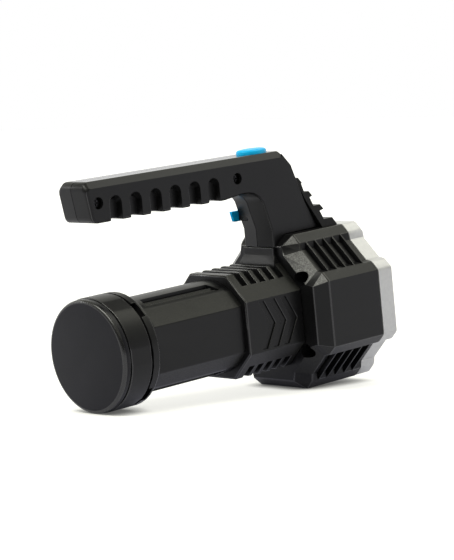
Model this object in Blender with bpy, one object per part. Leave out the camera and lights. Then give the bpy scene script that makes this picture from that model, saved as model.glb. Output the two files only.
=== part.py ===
import math
from collections import namedtuple

import bmesh
import bpy
from mathutils import Matrix, Vector

# A lantern-grip flashlight, in metres.
# X runs along the beam from the tail's flat face, at x = 0, to the bezel.
# Z points up to the handle, and y to the lamp's left side.

# Clearances and cuts that all pieces share
GAP = 0.0003
OVERRUN = 0.004
BITE = 0.0012
ROUND_SEGMENTS = 48
SMALL_SEGMENTS = 24
SHARP_ANGLE = math.radians(32)
FLAT_ANGLE = math.radians(0.2)

# How far an edge of the handle's outline draws in: along the top, along thin edges, round the rear
# face, and off the ridge down its middle
Draw = namedtuple("Draw", "top edge rear ridge", defaults=(0.0, 0.0, 0.0, 0.0))

# Tail disc and the threaded ring that clamps it
DISC_RADIUS = 0.0257
DISC_THICKNESS = 0.0037
DISC_ROUND = 0.0015
DISC_RIM_THICKNESS = 0.0008
RING_RADIUS = 0.0261
RING_LENGTH = 0.0118
RING_GROOVE = 0.0004
RING_EDGE = 0.0005
RING_LIP_RADIUS = 0.0208
RING_LIP_THICKNESS = 0.0010
RING_LIP_HOLD = 0.0007
RING_FLAT_COUNT = 6
RING_FLAT_HALF_ANGLE = math.radians(8.5)
RING_ARC_STEPS = 5
TAIL_GASKET_THICKNESS = 0.0012

# Flange and threaded spigot at the barrel's rear
FLANGE_RADIUS = 0.0255
FLANGE_LENGTH = 0.0026
FLANGE_SHADOW_GAP = 0.0006
FLANGE_SHADOW_DEPTH = 0.0011
FLANGE_TAPER = 0.0032
SPIGOT_RADIUS = 0.0224
THREAD_PLAY = 0.0004
NOTCH_ANGLE = math.radians(48)
NOTCH_WIDTH = 0.0084
NOTCH_DEPTH = 0.0025
NOTCH_LENGTH = 0.0024

# Octagonal barrel with a crowned top and bottom
BARREL_LENGTH = 0.0535
BARREL_HALF_WIDTH = 0.02186
BARREL_SIDE_HALF_HEIGHT = 0.0105
BARREL_SHOULDER_Y = 0.0148
BARREL_TOP_Z = 0.02195
BORE_RADIUS = 0.0185
BULKHEAD = 0.0024
CHAMBER_RADIUS = 0.0200

# Ribbed recess on each shoulder of the barrel
RECESS_START_FROM_FLANGE = 0.0060
RECESS_END_TO_COLLAR = 0.0070
RECESS_INNER_Y = 0.0064
RECESS_OUTER_Y = 0.0128
RECESS_DEPTH = 0.0018
RECESS_RIB_HEIGHT = 0.0010
RECESS_SLANT = 0.0022
RECESS_FLOOR_SHARES = ((0.0, 0), (0.22, 0), (0.34, 1), (0.56, 0), (0.68, 1), (1.0, 0))

# Collar in front of the barrel
COLLAR_LENGTH = 0.0357
COLLAR_HALF = 0.0244
COLLAR_FLAT = 0.0122
COLLAR_EDGE = 0.0006
GROOVE_COUNT = 5
GROOVE_PITCH = 0.00587
GROOVE_WIDTH = 0.0036
GROOVE_FIRST_FROM_COLLAR = 0.0051
GROOVE_REACH_SHARE = 0.9
GROOVE_TOP_DEPTH = 0.0010
GROOVE_SIDE_DEPTH = 0.0025
CHEVRON_COUNT = 3
CHEVRON_PITCH = 0.0070
CHEVRON_FIRST_APEX = 0.0178
CHEVRON_SWEEP = 0.0062
CHEVRON_HALF_HEIGHT = 0.0112
CHEVRON_WIDTH = 0.0032
CHEVRON_DEPTH = 0.0007

# Plinth that carries the post at the collar's front
PLINTH_BELOW_HEAD = 0.0005
PLINTH_LENGTH = 0.0018
PLINTH_FLARE = 0.0019
PLINTH_SINK = 0.0020

# Square head with cut corners and finned diagonal panels
HEAD_LENGTH = 0.0395
HEAD_CHAMFER_LENGTH = 0.0065
PAD_DISTANCE = 0.03685
PAD_HALF_SHARE = 0.4222
PAD_CHAMFER_SHARE = 0.108
PANEL_LONG_SHARE = 0.798
PANEL_SHORT_SHARE = 0.5462
REAR_PAD_SHARE = 0.874
REAR_PAD_HALF_SHARE = 0.3718
REAR_PANEL_LONG_SHARE = 0.753
REAR_PANEL_SHORT_SHARE = 0.3962
PAD_HALF = PAD_DISTANCE * PAD_HALF_SHARE
PAD_CHAMFER = PAD_DISTANCE * PAD_CHAMFER_SHARE
PANEL_CORNER_LONG = PAD_DISTANCE * PANEL_LONG_SHARE
PANEL_CORNER_SHORT = PAD_DISTANCE * PANEL_SHORT_SHARE
REAR_PAD_DISTANCE = PAD_DISTANCE * REAR_PAD_SHARE
REAR_PAD_HALF = PAD_DISTANCE * REAR_PAD_HALF_SHARE
REAR_PANEL_LONG = PAD_DISTANCE * REAR_PANEL_LONG_SHARE
REAR_PANEL_SHORT = PAD_DISTANCE * REAR_PANEL_SHORT_SHARE
FIN_COUNT = 5
FIN_PITCH = 0.00577
FIN_THICKNESS = 0.0008
FIN_SLOT_WIDTH = 0.0009
FIN_SLOT_DEPTH = 0.0016
FIN_FIRST_FROM_FACE = 0.0040
HEAD_WALL = 0.01015
HEAD_REAR_WALL = 0.0040
CAVITY_STEP = 0.0023
CAVITY_RADIUS = PAD_DISTANCE - HEAD_WALL
HEAT_SINK_BORE_RADIUS = CAVITY_RADIUS - CAVITY_STEP
DUCT_RADIUS = 0.0035

# Case screws through the head's rear corners
SCREW_Y_SHARE = 0.6513
SCREW_Z_SHARE = 0.4613
SCREW_Y = PAD_DISTANCE * SCREW_Y_SHARE
SCREW_Z = PAD_DISTANCE * SCREW_Z_SHARE
SCREW_HEAD_RADIUS = 0.0024
SCREW_HEAD_HEIGHT = 0.0020
SCREW_SHANK_RADIUS = 0.0014
SCREW_CORNER_LENGTH = 0.0340
COUNTERBORE_RADIUS = 0.0035
COUNTERBORE_DEPTH = 0.0090
CROSS_WIDTH = 0.0008
CROSS_LENGTH = 0.0028
CROSS_DEPTH = 0.0009

# Stepped brace on the head's top, in front of the post
BRACE_HEIGHT = 0.0262
BRACE_TOP_HALF = 0.0080
BRACE_FOOT_HALF = 0.0127
BRACE_TOOTH_COUNT = 4
BRACE_TOOTH_PITCH = 0.0071
BRACE_LAST_LEDGE_RISE = 0.0037
BRACE_LEDGE = 0.0017
BRACE_LEDGE_GROWTH = 0.0013
BRACE_TIP_REACH = 0.0018
BRACE_TIP_DROP = 0.0025
BRACE_TOOTH_HEIGHT = 0.0031
BRACE_WEB = 0.0010
BRACE_WEB_GROWTH = 0.0011
BRACE_UNDERCUT_WEB = 0.0027

# Silver bezel
BEZEL_LENGTH = 0.0102
BEZEL_EDGE = 0.0013
BEZEL_RIM = 0.00685
LENS_HOLD = 0.0017
BEZEL_THROAT_RADIUS = CAVITY_RADIUS - LENS_HOLD
BEZEL_MOUTH_RADIUS = PAD_DISTANCE - BEZEL_RIM

# Lamp inside the head, from the rear wall forward
HEAT_SINK_LENGTH = 0.0077
HEAT_SINK_RIM = 0.0030
LED_BOARD_RADIUS = 0.0120
LED_BOARD_THICKNESS = 0.0016
LED_BASE_RADIUS = 0.0035
LED_BASE_HEIGHT = 0.0010
LED_DOME_RADIUS = 0.0025
REFLECTOR_THROAT_RADIUS = 0.0055
REFLECTOR_MARGIN = 0.0004
REFLECTOR_MOUTH_RADIUS = BEZEL_THROAT_RADIUS - REFLECTOR_MARGIN
REFLECTOR_WALL = 0.0012
REFLECTOR_FLANGE = 0.0011
LENS_THICKNESS = 0.0023
LENS_GASKET_THICKNESS = 0.0006

# Handle: a grip over the barrel and a post down to the head, in two half shells
HANDLE_HALF_WIDTH = 0.0100
HANDLE_TOP_FRONT_Z = 0.0760
HANDLE_TOP_FALL = 0.0019
HANDLE_TOP_REAR_Z = HANDLE_TOP_FRONT_Z + HANDLE_TOP_FALL
HANDLE_TOP_CHAMFER = 0.0030
HANDLE_EDGE = 0.0006
HANDLE_SIDE_SHARES = ((0.0, 0.0, 0.0), (0.5, 0.0, 0.0), (0.8, 0.0, 0.22), (1.0, 1.0, 1.0))
GRIP_REAR_ROUND = 0.0018
GRIP_REAR_RIDGE = 0.0004
POST_REAR_RIDGE = 0.0012
GRIP_REAR_X = 0.0002
GRIP_REAR_LEAN = 0.0030
GRIP_TOP_CORNER = HANDLE_TOP_CHAMFER + HANDLE_EDGE
GRIP_BOTTOM_CORNER = 0.0038
GRIP_CORNER_STEPS = 4
GRIP_REAR_HEIGHT = 0.0187
GRIP_FRONT_HEIGHT = 0.0178
GRIP_BOTTOM_REAR_Z = HANDLE_TOP_REAR_Z - GRIP_REAR_HEIGHT
GRIP_BOTTOM_FRONT_Z = HANDLE_TOP_FRONT_Z - GRIP_FRONT_HEIGHT
GRIP_BOTTOM_STEP = 0.0011
POST_FOOT_LENGTH = 0.0226
POST_LEAN = 0.0196
POST_FRONT_SHARES = ((0.355, 0.338), (0.597, 0.669), (0.704, 0.814), (0.960, 0.960))
POST_REAR_SPAN = 0.0162
POST_REAR_SHARES = (
    (0.0, 0.306), (0.167, 0.620), (0.262, 0.797), (0.380, 0.890), (0.593, 0.967), (0.780, 0.995),
)

# Finger flutes along both sides of the grip, and the scallops below them
FLUTE_COUNT = 6
FLUTE_FIRST_X = 0.01755
FLUTE_PITCH = 0.01185
FLUTE_WIDTH = 0.0070
FLUTE_HEIGHT = 0.0112
FLUTE_DEPTH = 0.0032
FLUTE_DRAFT = 0.0005
FLUTE_TOP_DRAFT = 0.0020
FLUTE_ARC_STEPS = 8
SCALLOP_DEPTH = 0.0009
SCALLOP_LENGTH = 0.0080

# Handle screws
HANDLE_SCREW_REAR_X = 0.0077
HANDLE_SCREW_REAR_DROP = 0.0099
HANDLE_SCREW_FRONT_X = 0.0920
HANDLE_SCREW_FRONT_DROP = 0.0090
HANDLE_SCREW_REAR_Z = HANDLE_TOP_REAR_Z - HANDLE_SCREW_REAR_DROP
HANDLE_SCREW_FRONT_Z = HANDLE_TOP_FRONT_Z - HANDLE_SCREW_FRONT_DROP
HANDLE_SCREW_LENGTH = 0.0110
HANDLE_SCREW_SINK = 0.0022
HANDLE_BORE_RADIUS = SCREW_HEAD_RADIUS + GAP

# Top button and its switch
BUTTON_SETBACK = 0.0100
BUTTON_HALF_LENGTH = 0.0080
BUTTON_HALF_WIDTH = 0.0060
BUTTON_PROUD = 0.0023
BUTTON_CROWN = 0.0012
BUTTON_CROWN_SHARES = ((0.0, 0.0), (0.5, 0.55), (1.6, 0.85), (3.0, 1.0))
BUTTON_FLANGE = 0.0009
BUTTON_FLANGE_HEIGHT = 0.0012
BUTTON_WALL = 0.0022
BUTTON_STEM_RADIUS = 0.0020
BUTTON_TRAVEL = 0.0010
SWITCH_HALF = 0.0030
SWITCH_HEIGHT = 0.0035
PLUNGER_RADIUS = 0.0016
PLUNGER_PROUD = 0.0014
SWITCH_BOARD_HALF_LENGTH = 0.0062
SWITCH_BOARD_HALF_WIDTH = 0.0042
SWITCH_BOARD_THICKNESS = 0.0012
BUTTON_ROOM = 0.0014

# Charging port in the post's left side, and its rubber cover
PORT_RISE = 0.00945
PORT_COVER_SETBACK = 0.0062
PORT_COVER_LENGTH = 0.0130
PORT_COVER_HALF_HEIGHT = 0.00245
PORT_COVER_THICKNESS = 0.0021
PORT_COVER_SLANT = 0.0013
PORT_PLUG_START = 0.0046
PORT_PLUG_LENGTH = 0.0052
PORT_PLUG_HALF_HEIGHT = 0.0011
PORT_PLUG_DEPTH = 0.0016
PORT_SWING_ROOM = 0.0009
PORT_SOCKET_DEPTH = 0.0055
PORT_SOCKET_WALL = 0.0004
PORT_SOCKET_SET_BACK = 0.0004

# Power pack inside the barrel
CELL_RADIUS = 0.0092
CELL_LENGTH = 0.0650
CELL_CAP_RADIUS = 0.0028
CELL_CAP_HEIGHT = 0.0010
CELL_EDGE = 0.0008
HOLDER_WALL = 0.0014
HOLDER_RIB_COUNT = 4
HOLDER_RIB_THICKNESS = 0.0018
HOLDER_LENGTH = 0.0600
FRONT_CONTACT_RADIUS = 0.0060
FRONT_CONTACT_THICKNESS = 0.0005
DRIVER_RADIUS = 0.0175
DRIVER_THICKNESS = 0.0016
CONTACT_PLATE_RADIUS = 0.0095
CONTACT_PLATE_THICKNESS = 0.0006
SPRING_FOOT_RADIUS = 0.0062
SPRING_TIP_RADIUS = 0.0034
SPRING_WIRE_RADIUS = 0.0005
SPRING_TURNS = 4
SPRING_HEIGHT = 0.0080
SPRING_STEPS_PER_TURN = 12
SPRING_SIDES = 6

# Stations along the beam, each worked out from the piece behind it
RING_START = DISC_THICKNESS + RING_GROOVE
RING_END = RING_START + RING_LENGTH
SHADOW_START = RING_END + GAP
FLANGE_START = SHADOW_START + FLANGE_SHADOW_GAP
FLANGE_END = FLANGE_START + FLANGE_LENGTH
BARREL_START = FLANGE_END + FLANGE_TAPER
COLLAR_START = BARREL_START + BARREL_LENGTH
COLLAR_END = COLLAR_START + COLLAR_LENGTH
HEAD_START = COLLAR_END + GAP
HEAD_FACE_START = HEAD_START + HEAD_CHAMFER_LENGTH
HEAD_END = HEAD_START + HEAD_LENGTH
BEZEL_START = HEAD_END + GAP
BEZEL_END = BEZEL_START + BEZEL_LENGTH

# Heights and stations of the handle
PLINTH_TOP_Z = REAR_PAD_DISTANCE - PLINTH_BELOW_HEAD
BRACE_TOP_Z = PAD_DISTANCE + BRACE_HEIGHT
FOOT_Z = PAD_DISTANCE + GAP
PORT_Z = FOOT_Z + PORT_RISE
PORT_COVER_REAR_X = COLLAR_END - PORT_COVER_SETBACK
FOOT_FRONT_X = HEAD_FACE_START + POST_FOOT_LENGTH
POST_TOP_X = FOOT_FRONT_X - POST_LEAN
POST_REAR_X = COLLAR_END - PLINTH_LENGTH
BUTTON_X = POST_TOP_X - BUTTON_SETBACK

# Lamp stations, from the head's rear wall to the bezel
CAVITY_START = HEAD_START + HEAD_REAR_WALL
HEAT_SINK_START = CAVITY_START + GAP
HEAT_SINK_END = HEAT_SINK_START + HEAT_SINK_LENGTH
LED_BOARD_START = HEAT_SINK_END + GAP
LED_BOARD_END = LED_BOARD_START + LED_BOARD_THICKNESS
LENS_GASKET_END = BEZEL_START - GAP
LENS_GASKET_START = LENS_GASKET_END - LENS_GASKET_THICKNESS
LENS_END = LENS_GASKET_START - GAP
LENS_START = LENS_END - LENS_THICKNESS
REFLECTOR_START = LED_BOARD_END + GAP
REFLECTOR_END = LENS_START - GAP

# Power pack stations, from the tail disc forward
DISC_RIM_START = RING_START + RING_LIP_THICKNESS + GAP
DISC_END = DISC_RIM_START + DISC_RIM_THICKNESS
TAIL_GASKET_START = DISC_END + GAP
SPIGOT_START = TAIL_GASKET_START + TAIL_GASKET_THICKNESS + GAP
CONTACT_PLATE_START = DISC_END + GAP
SPRING_START = CONTACT_PLATE_START + CONTACT_PLATE_THICKNESS + GAP
CELL_START = SPRING_START + SPRING_HEIGHT + GAP
CELL_END = CELL_START + CELL_LENGTH
FRONT_CONTACT_START = CELL_END + CELL_CAP_HEIGHT + GAP
DRIVER_START = FRONT_CONTACT_START + FRONT_CONTACT_THICKNESS + GAP
DRIVER_END = DRIVER_START + DRIVER_THICKNESS
BORE_END = DRIVER_END + GAP
HOLDER_START = CELL_START + (CELL_LENGTH - HOLDER_LENGTH) / 2


def clear_scene():
    for item in list(bpy.data.objects):
        bpy.data.objects.remove(item, do_unlink=True)


def make_material(name, color, roughness, metallic=0.0):
    material = bpy.data.materials.new(name)
    material.use_nodes = True
    shader = material.node_tree.nodes["Principled BSDF"]
    shader.inputs["Base Color"].default_value = (*color, 1.0)
    shader.inputs["Roughness"].default_value = roughness
    shader.inputs["Metallic"].default_value = metallic
    material.diffuse_color = (*color, 1.0)
    return material


def black_plastic(name):
    return make_material(name, (0.022, 0.022, 0.021), 0.42)


def steel(name):
    return make_material(name, (0.55, 0.55, 0.56), 0.32, 1.0)


def add_object(name, mesh_data, material=None, smooth=False):
    mesh = bpy.data.meshes.new(name)
    mesh_data.to_mesh(mesh)
    mesh_data.free()
    if smooth:
        mesh.shade_smooth()
        mesh.set_sharp_from_angle(angle=SHARP_ANGLE)
    item = bpy.data.objects.new(name, mesh)
    bpy.context.scene.collection.objects.link(item)
    if material:
        mesh.materials.append(material)
    return item


def cut(target, name, mesh_data):
    return combine(target, name, mesh_data, "DIFFERENCE")


def join(target, name, mesh_data):
    return combine(target, name, mesh_data, "UNION")


def combine(target, name, mesh_data, operation):
    tool = add_object(name, mesh_data)
    tool.hide_render = True
    tool.display_type = "WIRE"
    modifier = target.modifiers.new(name, "BOOLEAN")
    modifier.operation = operation
    modifier.solver = "EXACT"
    modifier.object = tool
    return tool


def loft(rings, closed=False):
    # Skins rings of equally many points, in order, and caps both ends unless the loft closes on itself.
    data = bmesh.new()
    skin(data, rings, closed)
    return finished(data)


def skin(data, rings, closed=False):
    rows = [[data.verts.new(point) for point in ring] for ring in rings]
    pairs = list(zip(rows, rows[1:]))
    if closed:
        pairs.append((rows[-1], rows[0]))
    for lower, upper in pairs:
        count = len(lower)
        for index in range(count):
            after = (index + 1) % count
            data.faces.new((lower[index], lower[after], upper[after], upper[index]))
    if not closed:
        data.faces.new(list(reversed(rows[0])))
        data.faces.new(rows[-1])


def finished(data, merge=False):
    if merge:
        bmesh.ops.remove_doubles(data, verts=data.verts, dist=GAP / 100)
    bmesh.ops.recalc_face_normals(data, faces=data.faces)
    return data


def revolve(profile, segments, axis=Matrix.Identity(4), closed=False):
    # Turns a profile of (along, radius) points about the local x axis, then places it with a matrix.
    data = bmesh.new()
    rows = []
    for along, radius in profile:
        if radius == 0:
            rows.append([data.verts.new((along, 0, 0))])
            continue
        angles = [math.tau * step / segments for step in range(segments)]
        rows.append([
            data.verts.new((along, radius * math.cos(angle), radius * math.sin(angle))) for angle in angles
        ])
    pairs = list(zip(rows, rows[1:]))
    if closed:
        pairs.append((rows[-1], rows[0]))
    for lower, upper in pairs:
        for index in range(segments):
            after = (index + 1) % segments
            corners = [
                lower[index % len(lower)], lower[after % len(lower)],
                upper[after % len(upper)], upper[index % len(upper)],
            ]
            data.faces.new(list(dict.fromkeys(corners)))
    bmesh.ops.transform(data, matrix=axis, verts=data.verts)
    return finished(data)


def along_x(y, z):
    return Matrix.Translation((0, y, z))


def along_y(x, z):
    return Matrix.Translation((x, 0, z)) @ Matrix.Rotation(math.radians(90), 4, "Z")


def along_z(x, y):
    return Matrix.Translation((x, y, 0)) @ Matrix.Rotation(math.radians(-90), 4, "Y")


def tube_profile(start, end, inner, outer):
    return ((start, inner), (start, outer), (end, outer), (end, inner))


def rod_profile(start, end, radius):
    return ((start, 0), (start, radius), (end, radius), (end, 0))


def box(data, low, high):
    xs, ys, zs = zip(low, high)
    rings = [[(x, ys[0], zs[0]), (x, ys[1], zs[0]), (x, ys[1], zs[1]), (x, ys[0], zs[1])] for x in xs]
    skin(data, rings)


def single_box(low, high):
    data = bmesh.new()
    box(data, low, high)
    return finished(data)


def prism_x(data, outline, start, end):
    skin(data, [[(x, y, z) for y, z in outline] for x in (start, end)])


def prism_y(data, outline, start, end):
    skin(data, [[(x, y, z) for x, z in outline] for y in (start, end)])


def mirrored(quadrant):
    # Grows one quadrant of (y, z) points, from the y axis to the z axis, into a whole ring.
    left = [(-y, z) for y, z in reversed(quadrant)]
    below = [(-y, -z) for y, z in quadrant]
    right = [(y, -z) for y, z in reversed(quadrant)]
    return quadrant[:-1] + left[:-1] + below[:-1] + right[:-1]


def between(first, last, steps):
    return [
        tuple(a + (b - a) * step / steps for a, b in zip(first, last)) for step in range(steps)
    ]


def at(x, ring):
    return [(x, y, z) for y, z in ring]


def rounded(ring, radius):
    return [(y * radius / math.hypot(y, z), z * radius / math.hypot(y, z)) for y, z in ring]


def crown_height(y):
    # The barrel's crown is an arc through its middle top and both shoulders.
    shoulder_z = BARREL_SIDE_HALF_HEIGHT + BARREL_HALF_WIDTH - BARREL_SHOULDER_Y
    rise = BARREL_TOP_Z - shoulder_z
    radius = (BARREL_SHOULDER_Y ** 2 + rise ** 2) / (2 * rise)
    return BARREL_TOP_Z - radius + math.sqrt(radius ** 2 - y ** 2)


def barrel_ring():
    side = (BARREL_HALF_WIDTH, BARREL_SIDE_HALF_HEIGHT)
    shoulder = (BARREL_SHOULDER_Y, crown_height(BARREL_SHOULDER_Y))
    points = between((BARREL_HALF_WIDTH, 0), side, 2)
    points += between(side, shoulder, 2)
    points += [(y, crown_height(y)) for y, _ in between(shoulder, (0, 0), 5)]
    points.append((0, BARREL_TOP_Z))
    return mirrored(points)


def collar_ring(inset=0.0):
    half = COLLAR_HALF - inset
    flat = COLLAR_FLAT - inset * math.tan(math.radians(22.5))
    points = between((half, 0), (half, flat), 2)
    points += between((half, flat), (flat, half), 2)
    points += between((flat, half), (0, half), 5)
    points.append((0, half))
    return mirrored(points)


def head_ring(fin=False, slot=False):
    # One quadrant of the head: side pad, chamfer, recessed panel, chamfer and top pad. A fin stands on
    # the panel up to the pads' edges, and a slot behind it is sunk between the same two corners.
    inner = PAD_DISTANCE - PAD_CHAMFER
    outer = PAD_HALF + PAD_CHAMFER
    low_corner = (PANEL_CORNER_LONG, PANEL_CORNER_SHORT)
    high_corner = (PANEL_CORNER_SHORT, PANEL_CORNER_LONG)
    if fin:
        share = (inner - PANEL_CORNER_LONG) / (inner - outer)
        low_corner = (inner + (outer - inner) * share, outer + (inner - outer) * share)
        high_corner = tuple(reversed(low_corner))
    if slot:
        sunk = FIN_SLOT_DEPTH / math.sqrt(2)
        low_corner = (PANEL_CORNER_LONG - sunk, PANEL_CORNER_SHORT - sunk)
        high_corner = tuple(reversed(low_corner))
    quadrant = [
        (PAD_DISTANCE, PAD_HALF), (inner, outer), low_corner,
        high_corner, (outer, inner), (PAD_HALF, PAD_DISTANCE),
    ]
    return turned(quadrant)


def head_rear_ring():
    apex = (REAR_PAD_DISTANCE, REAR_PAD_HALF)
    quadrant = [
        apex, apex, (REAR_PANEL_LONG, REAR_PANEL_SHORT),
        (REAR_PANEL_SHORT, REAR_PANEL_LONG), tuple(reversed(apex)), tuple(reversed(apex)),
    ]
    return turned(quadrant)


def turned(quadrant):
    ring = list(quadrant)
    ring += [(-z, y) for y, z in quadrant]
    ring += [(-y, -z) for y, z in quadrant]
    ring += [(z, -y) for y, z in quadrant]
    return ring


def make_tail_disc():
    # The disc's neck passes the ring's inner lip, and a rim behind the lip keeps the two together.
    neck = RING_LIP_RADIUS - GAP
    rim = RING_LIP_RADIUS + RING_LIP_HOLD
    arc = [
        (
            DISC_ROUND * (1 - math.cos(math.radians(angle))),
            DISC_RADIUS - DISC_ROUND * (1 - math.sin(math.radians(angle))),
        )
        for angle in (0, 30, 60, 90)
    ]
    profile = [(0, 0), *arc, (DISC_THICKNESS, DISC_RADIUS), (DISC_THICKNESS, neck)]
    profile += [(DISC_RIM_START, neck), (DISC_RIM_START, rim), (DISC_END, rim), (DISC_END, 0)]
    add_object("tail_disc", revolve(profile, ROUND_SEGMENTS), black_plastic("tail_disc_plastic"), True)


def ring_outline(radius):
    # A round outline with shallow flats for the fingers.
    points = []
    step = math.tau / RING_FLAT_COUNT
    for flat in range(RING_FLAT_COUNT):
        first = flat * step + RING_FLAT_HALF_ANGLE
        last = (flat + 1) * step - RING_FLAT_HALF_ANGLE
        for index in range(RING_ARC_STEPS + 1):
            angle = first + (last - first) * index / RING_ARC_STEPS
            points.append((radius * math.cos(angle), radius * math.sin(angle)))
    return points


def make_tail_ring():
    edge = ring_outline(RING_RADIUS - RING_EDGE)
    outer = ring_outline(RING_RADIUS)
    rings = [
        at(RING_START, edge), at(RING_START + RING_EDGE, outer),
        at(RING_END - RING_EDGE, outer), at(RING_END, edge),
    ]
    ring = add_object("tail_ring", loft(rings), black_plastic("tail_ring_plastic"))
    bore = SPIGOT_RADIUS + THREAD_PLAY
    lip_end = RING_START + RING_LIP_THICKNESS
    profile = [(RING_START - OVERRUN, 0), (RING_START - OVERRUN, RING_LIP_RADIUS), (lip_end, RING_LIP_RADIUS)]
    profile += [(lip_end, bore), (RING_END + OVERRUN, bore), (RING_END + OVERRUN, 0)]
    cut(ring, "cut_tail_ring_bore", revolve(profile, ROUND_SEGMENTS))


def make_tail_gasket():
    end = TAIL_GASKET_START + TAIL_GASKET_THICKNESS
    profile = tube_profile(TAIL_GASKET_START, end, BORE_RADIUS, SPIGOT_RADIUS)
    material = make_material("tail_gasket_rubber", (0.05, 0.05, 0.05), 0.8)
    add_object("tail_gasket", revolve(profile, ROUND_SEGMENTS, closed=True), material, True)


def make_contact_plate():
    end = CONTACT_PLATE_START + CONTACT_PLATE_THICKNESS
    profile = rod_profile(CONTACT_PLATE_START, end, CONTACT_PLATE_RADIUS)
    add_object("contact_plate", revolve(profile, SMALL_SEGMENTS), steel("contact_plate_steel"), True)


def make_contact_spring():
    # A conical wire coil, swept along its helix.
    start = SPRING_START + SPRING_WIRE_RADIUS
    rise = SPRING_HEIGHT - 2 * SPRING_WIRE_RADIUS
    steps = SPRING_TURNS * SPRING_STEPS_PER_TURN
    centres = []
    for step in range(steps + 1):
        share = step / steps
        radius = SPRING_FOOT_RADIUS + (SPRING_TIP_RADIUS - SPRING_FOOT_RADIUS) * share
        angle = math.tau * SPRING_TURNS * share
        centres.append(Vector((start + rise * share, radius * math.cos(angle), radius * math.sin(angle))))
    rings = []
    for index, centre in enumerate(centres):
        before = centres[max(index - 1, 0)]
        after = centres[min(index + 1, steps)]
        forward = (after - before).normalized()
        outward = Vector((0, centre.y, centre.z)).normalized()
        across = forward.cross(outward).normalized()
        upright = across.cross(forward)
        angles = [math.tau * side / SPRING_SIDES for side in range(SPRING_SIDES)]
        rings.append([
            centre + (upright * math.cos(angle) + across * math.sin(angle)) * SPRING_WIRE_RADIUS
            for angle in angles
        ])
    add_object("contact_spring", loft(rings), steel("contact_spring_steel"), True)


def make_barrel_housing():
    barrel = barrel_ring()
    rings = [
        at(SPIGOT_START, rounded(barrel, SPIGOT_RADIUS)),
        at(SHADOW_START, rounded(barrel, SPIGOT_RADIUS)),
        at(SHADOW_START, rounded(barrel, FLANGE_RADIUS - FLANGE_SHADOW_DEPTH)),
        at(FLANGE_START, rounded(barrel, FLANGE_RADIUS - FLANGE_SHADOW_DEPTH)),
        at(FLANGE_START, rounded(barrel, FLANGE_RADIUS)),
        at(FLANGE_END, rounded(barrel, FLANGE_RADIUS)),
        at(BARREL_START, barrel),
        at(COLLAR_START, barrel),
        at(COLLAR_START, collar_ring(COLLAR_EDGE)),
        at(COLLAR_START + COLLAR_EDGE, collar_ring()),
        at(COLLAR_END, collar_ring()),
    ]
    housing = add_object("barrel_housing", loft(rings), black_plastic("barrel_plastic"), True)
    cut(housing, "cut_flange_notches", flange_notches())
    cut(housing, "cut_shoulder_recesses", shoulder_recesses())
    cut(housing, "cut_collar_grooves", collar_grooves())
    cut(housing, "cut_chevrons", chevrons())
    join(housing, "join_plinth", plinth())
    bore = [(SPIGOT_START - OVERRUN, 0), (SPIGOT_START - OVERRUN, BORE_RADIUS), (BORE_END, BORE_RADIUS)]
    chamber = BORE_END + BULKHEAD
    bore += [(BORE_END, DUCT_RADIUS), (chamber, DUCT_RADIUS), (chamber, CHAMBER_RADIUS)]
    bore += [(COLLAR_END + OVERRUN, CHAMBER_RADIUS), (COLLAR_END + OVERRUN, 0)]
    cut(housing, "cut_barrel_bore", revolve(bore, ROUND_SEGMENTS))


def flange_notches():
    data = bmesh.new()
    floor = FLANGE_RADIUS - NOTCH_DEPTH
    for quarter in (NOTCH_ANGLE, math.pi - NOTCH_ANGLE, math.pi + NOTCH_ANGLE, -NOTCH_ANGLE):
        piece = bmesh.new()
        low = (SHADOW_START - BITE, floor, -NOTCH_WIDTH / 2)
        high = (FLANGE_START + NOTCH_LENGTH, FLANGE_RADIUS + OVERRUN, NOTCH_WIDTH / 2)
        box(piece, low, high)
        bmesh.ops.rotate(piece, verts=piece.verts, matrix=Matrix.Rotation(quarter, 3, "X"))
        append(data, piece)
    return finished(data)


def append(data, piece):
    mesh = bpy.data.meshes.new("scratch")
    piece.to_mesh(mesh)
    piece.free()
    data.from_mesh(mesh)
    bpy.data.meshes.remove(mesh)


def shoulder_recesses():
    # Each recess follows the crown and leaves two lengthwise ribs standing in it.
    data = bmesh.new()
    span = RECESS_OUTER_Y - RECESS_INNER_Y
    floor = []
    for across, rib in RECESS_FLOOR_SHARES:
        y = RECESS_INNER_Y + span * across
        floor.append((y, crown_height(y) - RECESS_DEPTH + RECESS_RIB_HEIGHT * rib))
    roof = [(RECESS_OUTER_Y, BARREL_TOP_Z + OVERRUN), (RECESS_INNER_Y, BARREL_TOP_Z + OVERRUN)]
    outline = floor + roof
    start = BARREL_START + RECESS_START_FROM_FLANGE
    end = COLLAR_START - RECESS_END_TO_COLLAR
    for side in (-1, 1):
        for face in (-1, 1):
            ends = []
            for x, lean in ((start, -RECESS_SLANT), (end, RECESS_SLANT)):
                ends.append([
                    (x + lean * (y - RECESS_INNER_Y) / span, side * y, face * z) for y, z in outline
                ])
            skin(data, ends)
    return finished(data)


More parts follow.
